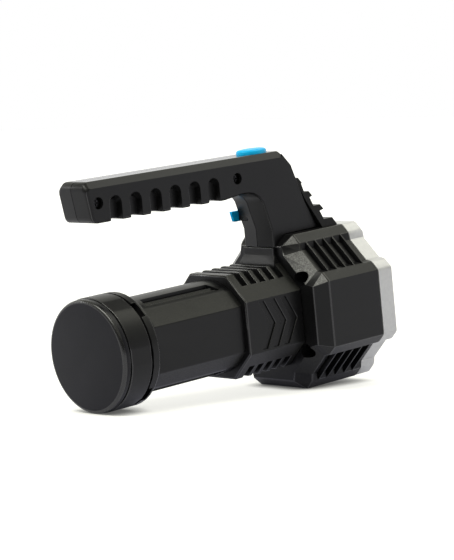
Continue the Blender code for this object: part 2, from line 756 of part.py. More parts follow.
def collar_grooves():
    # One arched slot over the top and one under the bottom at each station, deepest on the chamfers.
    diagonal = COLLAR_HALF + COLLAR_FLAT
    deep = diagonal - GROOVE_SIDE_DEPTH * math.sqrt(2)
    top = COLLAR_HALF - GROOVE_TOP_DEPTH
    end_y = (COLLAR_HALF + COLLAR_FLAT * GROOVE_REACH_SHARE) / 2
    end_z = diagonal - end_y
    sink = GROOVE_SIDE_DEPTH / math.sqrt(2)
    half = [
        (deep - top, top), (end_y - sink, end_z - sink),
        (end_y + OVERRUN, end_z + OVERRUN), (COLLAR_FLAT + OVERRUN, COLLAR_HALF + 2 * OVERRUN),
    ]
    outline = half + [(-y, z) for y, z in reversed(half)]
    data = bmesh.new()
    for index in range(GROOVE_COUNT):
        start = COLLAR_START + GROOVE_FIRST_FROM_COLLAR + GROOVE_PITCH * index
        for face in (-1, 1):
            prism_x(data, [(y, face * z) for y, z in outline], start, start + GROOVE_WIDTH)
    return finished(data)


def chevrons():
    data = bmesh.new()
    for index in range(CHEVRON_COUNT):
        apex = COLLAR_START + CHEVRON_FIRST_APEX + CHEVRON_PITCH * index
        tip = apex - CHEVRON_SWEEP
        outline = [
            (apex, 0), (tip, CHEVRON_HALF_HEIGHT), (tip - CHEVRON_WIDTH, CHEVRON_HALF_HEIGHT),
            (apex - CHEVRON_WIDTH, 0), (tip - CHEVRON_WIDTH, -CHEVRON_HALF_HEIGHT),
            (tip, -CHEVRON_HALF_HEIGHT),
        ]
        for side in (-1, 1):
            prism_y(data, outline, side * (COLLAR_HALF - CHEVRON_DEPTH), side * (COLLAR_HALF + OVERRUN))
    return finished(data)


def plinth():
    # The step that carries the post's rear foot, flared where it meets the collar.
    flare = PLINTH_FLARE
    mid_z = (PLINTH_TOP_Z + COLLAR_HALF) / 2
    rings = []
    for z, grow in ((COLLAR_HALF - PLINTH_SINK, flare), (COLLAR_HALF, flare), (mid_z, 0), (PLINTH_TOP_Z, 0)):
        rear = POST_REAR_X - grow
        half = HANDLE_HALF_WIDTH + grow
        rings.append([(rear, -half, z), (COLLAR_END, -half, z), (COLLAR_END, half, z), (rear, half, z)])
    return loft(rings)


def make_battery_holder():
    # A sleeve round the cell with ribs that centre it in the barrel's bore.
    inner = CELL_RADIUS + GAP
    sleeve = inner + HOLDER_WALL
    end = HOLDER_START + HOLDER_LENGTH
    profile = tube_profile(HOLDER_START, end, inner, sleeve)
    material = make_material("battery_holder_plastic", (0.55, 0.55, 0.52), 0.5)
    holder = add_object("battery_holder", revolve(profile, ROUND_SEGMENTS, closed=True), material, True)
    data = bmesh.new()
    reach = BORE_RADIUS - GAP - GAP
    for index in range(HOLDER_RIB_COUNT):
        piece = bmesh.new()
        low = (HOLDER_START, sleeve - HOLDER_WALL / 2, -HOLDER_RIB_THICKNESS / 2)
        box(piece, low, (end, reach, HOLDER_RIB_THICKNESS / 2))
        turn = Matrix.Rotation(math.tau * (index + 0.5) / HOLDER_RIB_COUNT, 3, "X")
        bmesh.ops.rotate(piece, verts=piece.verts, matrix=turn)
        append(data, piece)
    join(holder, "join_holder_ribs", finished(data))


def make_battery_cell():
    profile = [
        (CELL_START, 0), (CELL_START, CELL_RADIUS - CELL_EDGE), (CELL_START + CELL_EDGE, CELL_RADIUS),
        (CELL_END - CELL_EDGE, CELL_RADIUS), (CELL_END, CELL_RADIUS - CELL_EDGE),
        (CELL_END, CELL_CAP_RADIUS), (CELL_END + CELL_CAP_HEIGHT, CELL_CAP_RADIUS),
        (CELL_END + CELL_CAP_HEIGHT, 0),
    ]
    material = make_material("battery_wrap", (0.10, 0.22, 0.12), 0.4)
    add_object("battery_cell", revolve(profile, SMALL_SEGMENTS), material, True)


def make_front_contact():
    end = FRONT_CONTACT_START + FRONT_CONTACT_THICKNESS
    profile = rod_profile(FRONT_CONTACT_START, end, FRONT_CONTACT_RADIUS)
    material = make_material("front_contact_brass", (0.62, 0.45, 0.20), 0.35, 1.0)
    add_object("front_contact", revolve(profile, SMALL_SEGMENTS), material, True)


def make_driver_board():
    profile = rod_profile(DRIVER_START, DRIVER_END, DRIVER_RADIUS)
    material = make_material("driver_board_laminate", (0.03, 0.16, 0.07), 0.55)
    add_object("driver_board", revolve(profile, SMALL_SEGMENTS), material, True)


def make_head_shell():
    rings = [at(HEAD_START, head_rear_ring()), at(HEAD_FACE_START, head_ring())]
    for index in range(FIN_COUNT):
        start = HEAD_FACE_START + FIN_FIRST_FROM_FACE + FIN_PITCH * index
        end = start + FIN_THICKNESS
        back = start - FIN_SLOT_WIDTH
        rings += [at(back, head_ring()), at(back, head_ring(slot=True)), at(start, head_ring(slot=True))]
        rings += [at(start, head_ring(fin=True)), at(end, head_ring(fin=True)), at(end, head_ring())]
    rings.append(at(HEAD_END, head_ring()))
    data = bmesh.new()
    skin(data, rings)
    data = finished(data, merge=True)
    bmesh.ops.dissolve_limit(data, angle_limit=FLAT_ANGLE, verts=data.verts, edges=data.edges)
    shell = add_object("head_shell", data, black_plastic("head_plastic"))
    join(shell, "join_brace", brace())
    cavity = [(HEAD_START - OVERRUN, 0), (HEAD_START - OVERRUN, DUCT_RADIUS), (CAVITY_START, DUCT_RADIUS)]
    cavity += [(CAVITY_START, HEAT_SINK_BORE_RADIUS), (LED_BOARD_START, HEAT_SINK_BORE_RADIUS)]
    cavity += [(LED_BOARD_START, CAVITY_RADIUS), (HEAD_END + OVERRUN, CAVITY_RADIUS), (HEAD_END + OVERRUN, 0)]
    cut(shell, "cut_head_cavity", revolve(cavity, ROUND_SEGMENTS))
    cut(shell, "cut_head_screw_holes", head_screw_holes())


def screw_places():
    return [(side * SCREW_Y, level * SCREW_Z) for level in (1, -1) for side in (-1, 1)]


def head_screw_holes():
    seat = HEAD_START + COUNTERBORE_DEPTH
    hole = SCREW_SHANK_RADIUS + GAP
    profile = [(HEAD_START - OVERRUN, 0), (HEAD_START - OVERRUN, COUNTERBORE_RADIUS)]
    profile += [(seat, COUNTERBORE_RADIUS), (seat, hole), (HEAD_END + OVERRUN, hole), (HEAD_END + OVERRUN, 0)]
    data = bmesh.new()
    for y, z in screw_places():
        append(data, revolve(profile, SMALL_SEGMENTS, along_x(y, z)))
    return data


def post_front_x(z):
    # The post's front line, which the brace follows.
    points = [(FOOT_FRONT_X, FOOT_Z)] + post_front_points() + [(POST_TOP_X, HANDLE_TOP_FRONT_Z)]
    for (low_x, low_z), (high_x, high_z) in zip(points, points[1:]):
        if z <= high_z:
            return low_x + (high_x - low_x) * (z - low_z) / (high_z - low_z)
    return POST_TOP_X


def post_front_points():
    height = HANDLE_TOP_FRONT_Z - FOOT_Z
    return [
        (FOOT_FRONT_X - POST_LEAN * lean, FOOT_Z + height * rise) for lean, rise in POST_FRONT_SHARES
    ]


def brace():
    # A tapered web in front of the post, cut into teeth that step down to the head's front edge.
    gap = GAP / math.cos(math.atan2(POST_LEAN, HANDLE_TOP_FRONT_Z - FOOT_Z))
    outline = []
    for index in range(BRACE_TOOTH_COUNT):
        ledge = PAD_DISTANCE + BRACE_LAST_LEDGE_RISE + BRACE_TOOTH_PITCH * (BRACE_TOOTH_COUNT - 1 - index)
        web = post_front_x(ledge) + BRACE_WEB + BRACE_WEB_GROWTH * index
        nose = web + BRACE_LEDGE + BRACE_LEDGE_GROWTH * index
        outline += [(web, ledge), (nose, ledge)]
        if index < BRACE_TOOTH_COUNT - 1:
            under = ledge - BRACE_TOOTH_HEIGHT
            outline.append((nose + BRACE_TIP_REACH, ledge - BRACE_TIP_DROP))
            outline.append((post_front_x(under) + BRACE_UNDERCUT_WEB + BRACE_WEB_GROWTH * index, under))
    outline.append((HEAD_END, PAD_DISTANCE))
    outline.append((HEAD_END, PAD_DISTANCE - BITE))
    outline.append((FOOT_FRONT_X + gap, PAD_DISTANCE - BITE))
    outline.append((FOOT_FRONT_X + gap, PAD_DISTANCE))
    for x, z in post_front_points():
        if z < BRACE_TOP_Z:
            outline.append((x + gap, z))
    outline.append((post_front_x(BRACE_TOP_Z) + gap, BRACE_TOP_Z))
    rings = []
    for side in (-1, 1):
        ring = []
        for x, z in outline:
            share = (z - PAD_DISTANCE) / (BRACE_TOP_Z - PAD_DISTANCE)
            ring.append((x, side * (BRACE_FOOT_HALF + (BRACE_TOP_HALF - BRACE_FOOT_HALF) * share), z))
        rings.append(ring)
    return loft(rings)


def make_screw(name, profile_start, length, place):
    head_end = profile_start + SCREW_HEAD_HEIGHT
    end = head_end + length
    profile = [(profile_start, 0), (profile_start, SCREW_HEAD_RADIUS), (head_end, SCREW_HEAD_RADIUS)]
    profile += [(head_end, SCREW_SHANK_RADIUS), (end, SCREW_SHANK_RADIUS), (end, 0)]
    screw = add_object(name, revolve(profile, SMALL_SEGMENTS, place), steel(name + "_steel"), True)
    data = bmesh.new()
    wide = CROSS_LENGTH / 2
    thin = CROSS_WIDTH / 2
    outline = [
        (wide, -thin), (wide, thin), (thin, thin), (thin, wide), (-thin, wide), (-thin, thin),
        (-wide, thin), (-wide, -thin), (-thin, -thin), (-thin, -wide), (thin, -wide), (thin, -thin),
    ]
    prism_x(data, outline, profile_start - OVERRUN, profile_start + CROSS_DEPTH)
    bmesh.ops.transform(data, matrix=place, verts=data.verts)
    cut(screw, "cut_" + name + "_cross", finished(data))


def make_head_screws():
    start = HEAD_START + COUNTERBORE_DEPTH - GAP - SCREW_HEAD_HEIGHT
    for index, (y, z) in enumerate(screw_places()):
        make_screw("bezel_screw_" + str(index + 1), start, SCREW_CORNER_LENGTH, along_x(y, z))


def make_bezel():
    inner = 1 - BEZEL_EDGE / PAD_DISTANCE
    outline = head_ring()
    front = [(y * inner, z * inner) for y, z in outline]
    rings = [at(BEZEL_START, outline), at(BEZEL_END - BEZEL_EDGE, outline), at(BEZEL_END, front)]
    material = make_material("bezel_silver", (0.62, 0.62, 0.60), 0.28, 0.9)
    bezel = add_object("bezel", loft(rings), material)
    mouth = BEZEL_MOUTH_RADIUS + (BEZEL_MOUTH_RADIUS - BEZEL_THROAT_RADIUS) * OVERRUN / BEZEL_LENGTH
    profile = [(BEZEL_START - OVERRUN, 0), (BEZEL_START - OVERRUN, BEZEL_THROAT_RADIUS)]
    profile += [(BEZEL_START, BEZEL_THROAT_RADIUS), (BEZEL_END + OVERRUN, mouth), (BEZEL_END + OVERRUN, 0)]
    cut(bezel, "cut_bezel_mouth", revolve(profile, ROUND_SEGMENTS))
    tip = HEAD_START + COUNTERBORE_DEPTH - GAP + SCREW_CORNER_LENGTH + GAP
    pilot = rod_profile(BEZEL_START - OVERRUN, tip, SCREW_SHANK_RADIUS + GAP)
    data = bmesh.new()
    for y, z in screw_places():
        append(data, revolve(pilot, SMALL_SEGMENTS, along_x(y, z)))
    cut(bezel, "cut_bezel_pilots", data)


def make_lens():
    profile = rod_profile(LENS_START, LENS_END, CAVITY_RADIUS - GAP)
    material = make_material("lens_clear", (0.85, 0.88, 0.90), 0.05)
    add_object("lens", revolve(profile, ROUND_SEGMENTS), material, True)


def make_lens_gasket():
    profile = tube_profile(LENS_GASKET_START, LENS_GASKET_END, BEZEL_THROAT_RADIUS, CAVITY_RADIUS - GAP)
    material = make_material("lens_gasket_rubber", (0.04, 0.04, 0.04), 0.8)
    add_object("lens_gasket", revolve(profile, ROUND_SEGMENTS, closed=True), material, True)


def make_reflector():
    # A parabolic cup with a flange under the lens, open behind for the light source.
    steps = 4
    flange_start = REFLECTOR_END - REFLECTOR_FLANGE
    inside = []
    for step in range(steps + 1):
        radius = REFLECTOR_THROAT_RADIUS
        radius += (REFLECTOR_MOUTH_RADIUS - REFLECTOR_THROAT_RADIUS) * step / steps
        depth = (radius ** 2 - REFLECTOR_THROAT_RADIUS ** 2)
        depth /= REFLECTOR_MOUTH_RADIUS ** 2 - REFLECTOR_THROAT_RADIUS ** 2
        inside.append((REFLECTOR_START + (REFLECTOR_END - REFLECTOR_START) * depth, radius))
    rim_share = (flange_start - inside[-2][0]) / (inside[-1][0] - inside[-2][0])
    rim_radius = inside[-2][1] + (inside[-1][1] - inside[-2][1]) * rim_share
    outside = [(x, radius + REFLECTOR_WALL) for x, radius in inside[:-1]]
    outside.append((flange_start, rim_radius + REFLECTOR_WALL))
    profile = inside + [(REFLECTOR_END, CAVITY_RADIUS - GAP), (flange_start, CAVITY_RADIUS - GAP)]
    profile += list(reversed(outside))
    material = make_material("reflector_chrome", (0.80, 0.80, 0.82), 0.08, 1.0)
    add_object("reflector", revolve(profile, ROUND_SEGMENTS, closed=True), material, True)


def make_led():
    board = rod_profile(LED_BOARD_START, LED_BOARD_END, LED_BOARD_RADIUS)
    material = make_material("led_board_laminate", (0.75, 0.75, 0.72), 0.5)
    add_object("led_board", revolve(board, SMALL_SEGMENTS), material, True)
    base = LED_BOARD_END + GAP
    top = base + LED_BASE_HEIGHT
    profile = [(base, 0), (base, LED_BASE_RADIUS), (top, LED_BASE_RADIUS), (top, LED_DOME_RADIUS)]
    for angle in (30, 60):
        turn = math.radians(angle)
        profile.append((top + LED_DOME_RADIUS * math.sin(turn), LED_DOME_RADIUS * math.cos(turn)))
    profile.append((top + LED_DOME_RADIUS, 0))
    material = make_material("led_emitter_resin", (0.90, 0.82, 0.35), 0.25)
    add_object("led_emitter", revolve(profile, SMALL_SEGMENTS), material, True)


def make_heat_sink():
    # A turned dish: its rim fits the head's bore and its boss carries the lamp's board.
    rim = HEAT_SINK_BORE_RADIUS - GAP
    floor = HEAT_SINK_START + HEAT_SINK_RIM
    profile = [(HEAT_SINK_START, 0), (HEAT_SINK_START, rim), (HEAT_SINK_END, rim)]
    profile += [(HEAT_SINK_END, rim - HEAT_SINK_RIM), (floor, rim - HEAT_SINK_RIM)]
    profile += [(floor, LED_BOARD_RADIUS), (HEAT_SINK_END, LED_BOARD_RADIUS), (HEAT_SINK_END, 0)]
    material = make_material("heat_sink_aluminium", (0.60, 0.61, 0.62), 0.4, 1.0)
    add_object("heat_sink", revolve(profile, ROUND_SEGMENTS), material, True)


def handle_outline():
    # Corner points (x, z) of the handle's side view, and for each edge from a point to the next how far
    # it draws in by the time the shell reaches its flat side.
    rear_top = (GRIP_REAR_X, HANDLE_TOP_REAR_Z)
    rear_bottom = (GRIP_REAR_X + GRIP_REAR_LEAN, GRIP_BOTTOM_REAR_Z)
    slope_x = HEAD_CHAMFER_LENGTH
    slope_z = PAD_DISTANCE - REAR_PAD_DISTANCE
    length = math.hypot(slope_x, slope_z)
    ramp_low = (HEAD_START - GAP * slope_z / length, REAR_PAD_DISTANCE + GAP * slope_x / length)
    plinth_top = PLINTH_TOP_Z + GAP
    opening_top = GRIP_BOTTOM_FRONT_Z + GRIP_BOTTOM_STEP
    rise = opening_top - plinth_top
    rear_points = [
        (POST_REAR_X - POST_REAR_SPAN * back, plinth_top + rise * up) for back, up in POST_REAR_SHARES
    ]
    last_flute = FLUTE_FIRST_X + FLUTE_PITCH * (FLUTE_COUNT - 1)
    top = Draw(top=HANDLE_TOP_CHAMFER, ridge=GRIP_REAR_RIDGE)
    thin = Draw(edge=HANDLE_EDGE)
    rear = Draw(rear=GRIP_REAR_ROUND, ridge=GRIP_REAR_RIDGE)
    still = Draw()
    post_rear = Draw(edge=HANDLE_EDGE, ridge=POST_REAR_RIDGE)
    edges = corner(rear_bottom, rear_top, (POST_TOP_X, HANDLE_TOP_FRONT_Z), GRIP_TOP_CORNER, rear, top)
    edges.append(((POST_TOP_X, HANDLE_TOP_FRONT_Z), thin))
    edges += [(point, thin) for point in reversed(post_front_points())]
    edges += [
        ((FOOT_FRONT_X, FOOT_Z), still),
        ((HEAD_FACE_START - GAP * slope_z / length, FOOT_Z), still),
        (ramp_low, still),
        ((ramp_low[0], plinth_top), still),
        ((POST_REAR_X, plinth_top), post_rear),
    ]
    edges += [(point, post_rear) for point in rear_points]
    grip_front = (last_flute + FLUTE_WIDTH, GRIP_BOTTOM_FRONT_Z)
    edges += [((POST_REAR_X - POST_REAR_SPAN, opening_top), thin), (grip_front, thin)]
    return edges + corner(grip_front, rear_bottom, rear_top, GRIP_BOTTOM_CORNER, thin, rear)


def corner(before, point, after, radius, first, last):
    # Rounds one corner of the outline, and passes from one edge's way of drawing in to the next one's.
    point, before, after = Vector(point), Vector(before), Vector(after)
    arriving = (point - before).normalized()
    leaving = (after - point).normalized()
    turn = arriving.angle(leaving)
    reach = radius * math.tan(turn / 2)
    inward = Vector((arriving.y, -arriving.x))
    centre = point - arriving * reach + inward * radius
    edges = []
    for step in range(GRIP_CORNER_STEPS + 1):
        angle = turn * step / GRIP_CORNER_STEPS
        place = centre - inward * radius * math.cos(angle) + arriving * radius * math.sin(angle)
        share = min(1.0, (step + 0.5) / GRIP_CORNER_STEPS)
        edges.append((tuple(place), Draw(*(a + (b - a) * share for a, b in zip(first, last)))))
    return edges


def drawn_in(edges, shares):
    # Moves each edge inward by its shares of each way of drawing in, and meets the next edges again. The
    # ridge falls away along X, so it moves an edge by as much as that edge faces along X.
    points = [Vector(point) for point, _ in edges]
    count = len(points)
    lines = []
    for index, (_, draw) in enumerate(edges):
        start = points[index]
        direction = (points[(index + 1) % count] - start).normalized()
        inward = Vector((direction.y, -direction.x))
        amount = draw.top * shares.top + draw.edge * shares.edge + draw.rear * shares.rear
        amount += draw.ridge * shares.ridge * inward.x
        lines.append((start + inward * amount, direction))
    moved = []
    for index in range(count):
        (first, heading), (second, bearing) = lines[index - 1], lines[index]
        cross = heading.x * bearing.y - heading.y * bearing.x
        gap = second - first
        along = (gap.x * bearing.y - gap.y * bearing.x) / cross
        moved.append(first + heading * along)
    return moved


def make_handle_shell(name, side):
    edges = handle_outline()
    chamfer_start = HANDLE_HALF_WIDTH - HANDLE_TOP_CHAMFER
    rings = [[(x, side * GAP / 2, z) for x, z in drawn_in(edges, Draw())]]
    for across, edge_share, rear_share in HANDLE_SIDE_SHARES:
        y = chamfer_start + HANDLE_TOP_CHAMFER * across
        shares = Draw(across, edge_share, rear_share, y / HANDLE_HALF_WIDTH)
        rings.append([(x, side * y, z) for x, z in drawn_in(edges, shares)])
    shell = add_object(name, loft(rings), black_plastic(name + "_plastic"))
    cut(shell, "cut_" + name + "_flutes", flutes(side))
    cut(shell, "cut_" + name + "_scallops", scallops())
    cut(shell, "cut_" + name + "_screws", handle_screw_holes())
    cut(shell, "cut_" + name + "_button", button_room())
    if side > 0:
        cut(shell, "cut_" + name + "_port", port_room())
    return shell


def grip_bottom_z(x):
    front = FLUTE_FIRST_X + FLUTE_PITCH * (FLUTE_COUNT - 1) + FLUTE_WIDTH
    rear = GRIP_REAR_X + GRIP_REAR_LEAN
    return GRIP_BOTTOM_REAR_Z + (GRIP_BOTTOM_FRONT_Z - GRIP_BOTTOM_REAR_Z) * (x - rear) / (front - rear)


def arch(x, half, top, bottom):
    points = [(x + half, bottom)]
    for step in range(FLUTE_ARC_STEPS + 1):
        angle = math.pi * step / FLUTE_ARC_STEPS
        points.append((x + half * math.cos(angle), top - half + half * math.sin(angle)))
    points.append((x - half, bottom))
    return points


def flutes(side):
    # Arched flutes with a drafted floor, open at the grip's lower edge.
    data = bmesh.new()
    half = FLUTE_WIDTH / 2
    for index in range(FLUTE_COUNT):
        x = FLUTE_FIRST_X + FLUTE_PITCH * index
        top = grip_bottom_z(x) + FLUTE_HEIGHT
        bottom = grip_bottom_z(x) - OVERRUN
        face = arch(x, half, top, bottom)
        floor = arch(x, half - FLUTE_DRAFT, top - FLUTE_TOP_DRAFT, bottom)
        rings = []
        for y, outline in (
            (HANDLE_HALF_WIDTH + OVERRUN, face), (HANDLE_HALF_WIDTH, face),
            (HANDLE_HALF_WIDTH - FLUTE_DEPTH, floor),
        ):
            rings.append([(px, side * y, pz) for px, pz in outline])
        skin(data, rings)
    return finished(data)


def scallops():
    # Shallow arcs across the grip's underside, one below each flute.
    data = bmesh.new()
    half = SCALLOP_LENGTH / 2
    steps = 4
    for index in range(FLUTE_COUNT):
        x = FLUTE_FIRST_X + FLUTE_PITCH * index
        base = grip_bottom_z(x)
        outline = []
        for step in range(steps + 1):
            share = 2 * step / steps - 1
            outline.append((x + half * share, base + SCALLOP_DEPTH * (1 - share ** 2)))
        outline += [(x + half, base - OVERRUN), (x - half, base - OVERRUN)]
        prism_y(data, outline, -HANDLE_HALF_WIDTH - OVERRUN, HANDLE_HALF_WIDTH + OVERRUN)
    return finished(data)


def handle_screw_places():
    return (
        ("handle_screw_rear", HANDLE_SCREW_REAR_X, HANDLE_SCREW_REAR_Z),
        ("handle_screw_front", HANDLE_SCREW_FRONT_X, HANDLE_SCREW_FRONT_Z),
    )


def handle_screw_start():
    return -HANDLE_HALF_WIDTH + HANDLE_SCREW_SINK


def handle_screw_holes():
    seat = handle_screw_start() + SCREW_HEAD_HEIGHT + GAP
    hole = SCREW_SHANK_RADIUS + GAP
    tip = seat + HANDLE_SCREW_LENGTH + GAP
    profile = [(-HANDLE_HALF_WIDTH - OVERRUN, 0), (-HANDLE_HALF_WIDTH - OVERRUN, HANDLE_BORE_RADIUS)]
    profile += [(seat, HANDLE_BORE_RADIUS), (seat, hole), (tip, hole), (tip, 0)]
    data = bmesh.new()
    for _, x, z in handle_screw_places():
        append(data, revolve(profile, SMALL_SEGMENTS, along_y(x, z)))
    return data


def make_handle_screws():
    for name, x, z in handle_screw_places():
        make_screw(name, handle_screw_start(), HANDLE_SCREW_LENGTH, along_y(x, z))


def top_z(x):
    rear = GRIP_REAR_X
    share = (x - rear) / (POST_TOP_X - rear)
    return HANDLE_TOP_REAR_Z + (HANDLE_TOP_FRONT_Z - HANDLE_TOP_REAR_Z) * share


def ceiling_z():
    # Underside of the wall round the button, taken at the wall's lower, front end.
    return top_z(BUTTON_X) - BUTTON_WALL


def button_levels():
    flange_top = ceiling_z() - GAP
    flange_bottom = flange_top - BUTTON_FLANGE_HEIGHT
    stem_bottom = flange_bottom - BUTTON_ROOM
    plunger_top = stem_bottom - GAP
    switch_top = plunger_top - PLUNGER_PROUD
    board_top = switch_top - SWITCH_HEIGHT - GAP
    return flange_top, flange_bottom, stem_bottom, plunger_top, switch_top, board_top


def oval(grow, z, segments=SMALL_SEGMENTS):
    ring = []
    for step in range(segments):
        angle = math.tau * step / segments
        x = BUTTON_X + (BUTTON_HALF_LENGTH + grow) * math.cos(angle)
        ring.append((x, (BUTTON_HALF_WIDTH + grow) * math.sin(angle), z))
    return ring


def button_room():
    # The button's oval hole, and below its wall the room for flange, switch and board.
    floor = button_levels()[5] - SWITCH_BOARD_THICKNESS - GAP
    room = BUTTON_FLANGE + GAP
    data = bmesh.new()
    skin(data, [
        oval(room, floor), oval(room, ceiling_z()), oval(GAP, ceiling_z()), oval(GAP, top_z(0) + OVERRUN),
    ])
    return finished(data)


def make_top_button():
    flange_top, flange_bottom, stem_bottom, *_ = button_levels()
    rim = top_z(BUTTON_X) + BUTTON_PROUD - BUTTON_CROWN
    rings = [oval(BUTTON_FLANGE, flange_bottom), oval(BUTTON_FLANGE, flange_top), oval(0, flange_top)]
    for inward, rise in BUTTON_CROWN_SHARES:
        rings.append(oval(-BUTTON_CROWN * inward, rim + BUTTON_CROWN * rise))
    material = make_material("button_blue", (0.02, 0.36, 0.85), 0.35)
    button = add_object("top_button", loft(rings), material, True)
    stem = rod_profile(stem_bottom, flange_bottom + BITE / 2, BUTTON_STEM_RADIUS)
    join(button, "join_button_stem", revolve(stem, SMALL_SEGMENTS, along_z(BUTTON_X, 0)))


def make_switch():
    _, _, _, plunger_top, switch_top, board_top = button_levels()
    low = (BUTTON_X - SWITCH_HALF, -SWITCH_HALF, board_top + GAP)
    high = (BUTTON_X + SWITCH_HALF, SWITCH_HALF, switch_top)
    material = make_material("switch_case", (0.1, 0.1, 0.1), 0.4)
    switch = add_object("top_switch", single_box(low, high), material)
    plunger_bottom = plunger_top - PLUNGER_PROUD - BUTTON_TRAVEL
    well = rod_profile(plunger_bottom - BUTTON_TRAVEL - GAP, switch_top + OVERRUN, PLUNGER_RADIUS + GAP)
    cut(switch, "cut_switch_well", revolve(well, SMALL_SEGMENTS, along_z(BUTTON_X, 0)))
    plunger = rod_profile(plunger_bottom, plunger_top, PLUNGER_RADIUS)
    material = make_material("plunger_plastic", (0.7, 0.7, 0.68), 0.5)
    add_object("switch_plunger", revolve(plunger, SMALL_SEGMENTS, along_z(BUTTON_X, 0)), material, True)
    low = (BUTTON_X - SWITCH_BOARD_HALF_LENGTH, -SWITCH_BOARD_HALF_WIDTH, board_top - SWITCH_BOARD_THICKNESS)
    high = (BUTTON_X + SWITCH_BOARD_HALF_LENGTH, SWITCH_BOARD_HALF_WIDTH, board_top)
    material = make_material("switch_board_laminate", (0.03, 0.16, 0.07), 0.55)
    add_object("switch_board", single_box(low, high), material)


def port_places():
    plug_start = PORT_COVER_REAR_X + PORT_PLUG_START
    plug_end = plug_start + PORT_PLUG_LENGTH
    cover_inner = HANDLE_HALF_WIDTH + GAP
    return plug_start, plug_end, cover_inner


def port_room():
    # A shallow mouth for the cover's plug, and behind it the socket's own room.
    plug_start, plug_end, _ = port_places()
    half = PORT_PLUG_HALF_HEIGHT + GAP + PORT_SOCKET_WALL + GAP
    floor = HANDLE_HALF_WIDTH - PORT_SOCKET_DEPTH - PORT_SOCKET_SET_BACK - GAP
    low = (plug_start - PORT_SWING_ROOM - PORT_SOCKET_WALL - GAP, floor, PORT_Z - half)
    high = (plug_end + GAP + PORT_SOCKET_WALL + GAP, HANDLE_HALF_WIDTH + OVERRUN, PORT_Z + half)
    return single_box(low, high)


def make_charge_port():
    # A sheet metal socket, open to the side that the cover closes.
    plug_start, plug_end, _ = port_places()
    outer_y = HANDLE_HALF_WIDTH - PORT_SOCKET_SET_BACK
    inner_y = outer_y - PORT_SOCKET_DEPTH
    half = PORT_PLUG_HALF_HEIGHT + GAP
    wall = PORT_SOCKET_WALL
    low_x = plug_start - PORT_SWING_ROOM
    high_x = plug_end + GAP
    low = (low_x - wall, inner_y, PORT_Z - half - wall)
    high = (high_x + wall, outer_y, PORT_Z + half + wall)
    socket = add_object("charge_port", single_box(low, high), steel("charge_port_steel"))
    low = (low_x, inner_y + wall, PORT_Z - half)
    high = (high_x, outer_y + OVERRUN, PORT_Z + half)
    cut(socket, "cut_port_mouth", single_box(low, high))


def make_port_cover():
    # A rubber flap: its rear lip overhangs the post for a fingernail, its round front end is the hinge.
    plug_start, plug_end, inner_y = port_places()
    radius = PORT_COVER_THICKNESS / 2
    centre_y = inner_y + radius
    hinge_x = PORT_COVER_REAR_X + PORT_COVER_LENGTH - radius
    steps = SMALL_SEGMENTS // 2
    rings = []
    for level in (-1, 1):
        rear = PORT_COVER_REAR_X - PORT_COVER_SLANT * level / 2
        z = PORT_Z + PORT_COVER_HALF_HEIGHT * level
        ring = [(rear, inner_y, z)]
        for step in range(steps + 1):
            angle = math.radians(-90) + math.pi * step / steps
            ring.append((hinge_x + radius * math.cos(angle), centre_y + radius * math.sin(angle), z))
        ring.append((rear, inner_y + PORT_COVER_THICKNESS, z))
        rings.append(ring)
    material = make_material("port_cover_blue", (0.015, 0.26, 0.62), 0.5)
    cover = add_object("port_cover", loft(rings), material)
    low = (plug_start, HANDLE_HALF_WIDTH - PORT_PLUG_DEPTH, PORT_Z - PORT_PLUG_HALF_HEIGHT)
    high = (plug_end, inner_y + BITE / 2, PORT_Z + PORT_PLUG_HALF_HEIGHT)
    join(cover, "join_port_plug", single_box(low, high))


def main():
    clear_scene()
    make_tail_disc()
    make_tail_ring()
    make_tail_gasket()
    make_contact_plate()
    make_contact_spring()
    make_barrel_housing()
    make_battery_holder()
    make_battery_cell()
    make_front_contact()
    make_driver_board()
    make_head_shell()
    make_head_screws()
    make_bezel()
    make_lens()
    make_lens_gasket()
    make_reflector()
    make_led()
    make_heat_sink()
    make_handle_shell("handle_shell_right", -1)
    make_handle_shell("handle_shell_left", 1)
    make_handle_screws()
    make_top_button()
    make_switch()
    make_charge_port()
    make_port_cover()


main()
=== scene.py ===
import math

import bmesh
import bpy
from mathutils import Matrix, Vector


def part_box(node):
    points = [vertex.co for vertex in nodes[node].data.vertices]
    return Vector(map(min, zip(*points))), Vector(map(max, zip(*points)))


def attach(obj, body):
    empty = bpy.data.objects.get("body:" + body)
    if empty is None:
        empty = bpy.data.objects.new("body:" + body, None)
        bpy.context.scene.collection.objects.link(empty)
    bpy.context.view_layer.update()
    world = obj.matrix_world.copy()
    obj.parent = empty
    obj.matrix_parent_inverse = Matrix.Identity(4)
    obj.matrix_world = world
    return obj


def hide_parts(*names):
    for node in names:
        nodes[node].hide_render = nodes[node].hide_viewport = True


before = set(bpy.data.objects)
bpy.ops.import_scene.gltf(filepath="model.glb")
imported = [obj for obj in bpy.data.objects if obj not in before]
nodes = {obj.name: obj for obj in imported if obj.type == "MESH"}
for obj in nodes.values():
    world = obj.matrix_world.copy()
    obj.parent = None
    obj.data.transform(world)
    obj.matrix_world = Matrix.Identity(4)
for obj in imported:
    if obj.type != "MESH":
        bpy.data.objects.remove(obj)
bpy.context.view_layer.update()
print("frame loaded:", len(nodes), "nodes")

alongBeam = (0, math.pi / 2, 0)  # turns a primitive's own z to the beam's x
mm = 0.001
mm2 = mm * mm
bandAtOne = 0.16  # how wide a wave texture's light or dark band is at scale 1


# Colours and nodes

def hexColor(code):
    # sRGB hex to the linear colour that the sockets take
    parts = [int(code[i:i + 2], 16) / 255 for i in (1, 3, 5)]
    return [p / 12.92 if p <= 0.04045 else ((p + 0.055) / 1.055) ** 2.4 for p in parts] + [1.0]


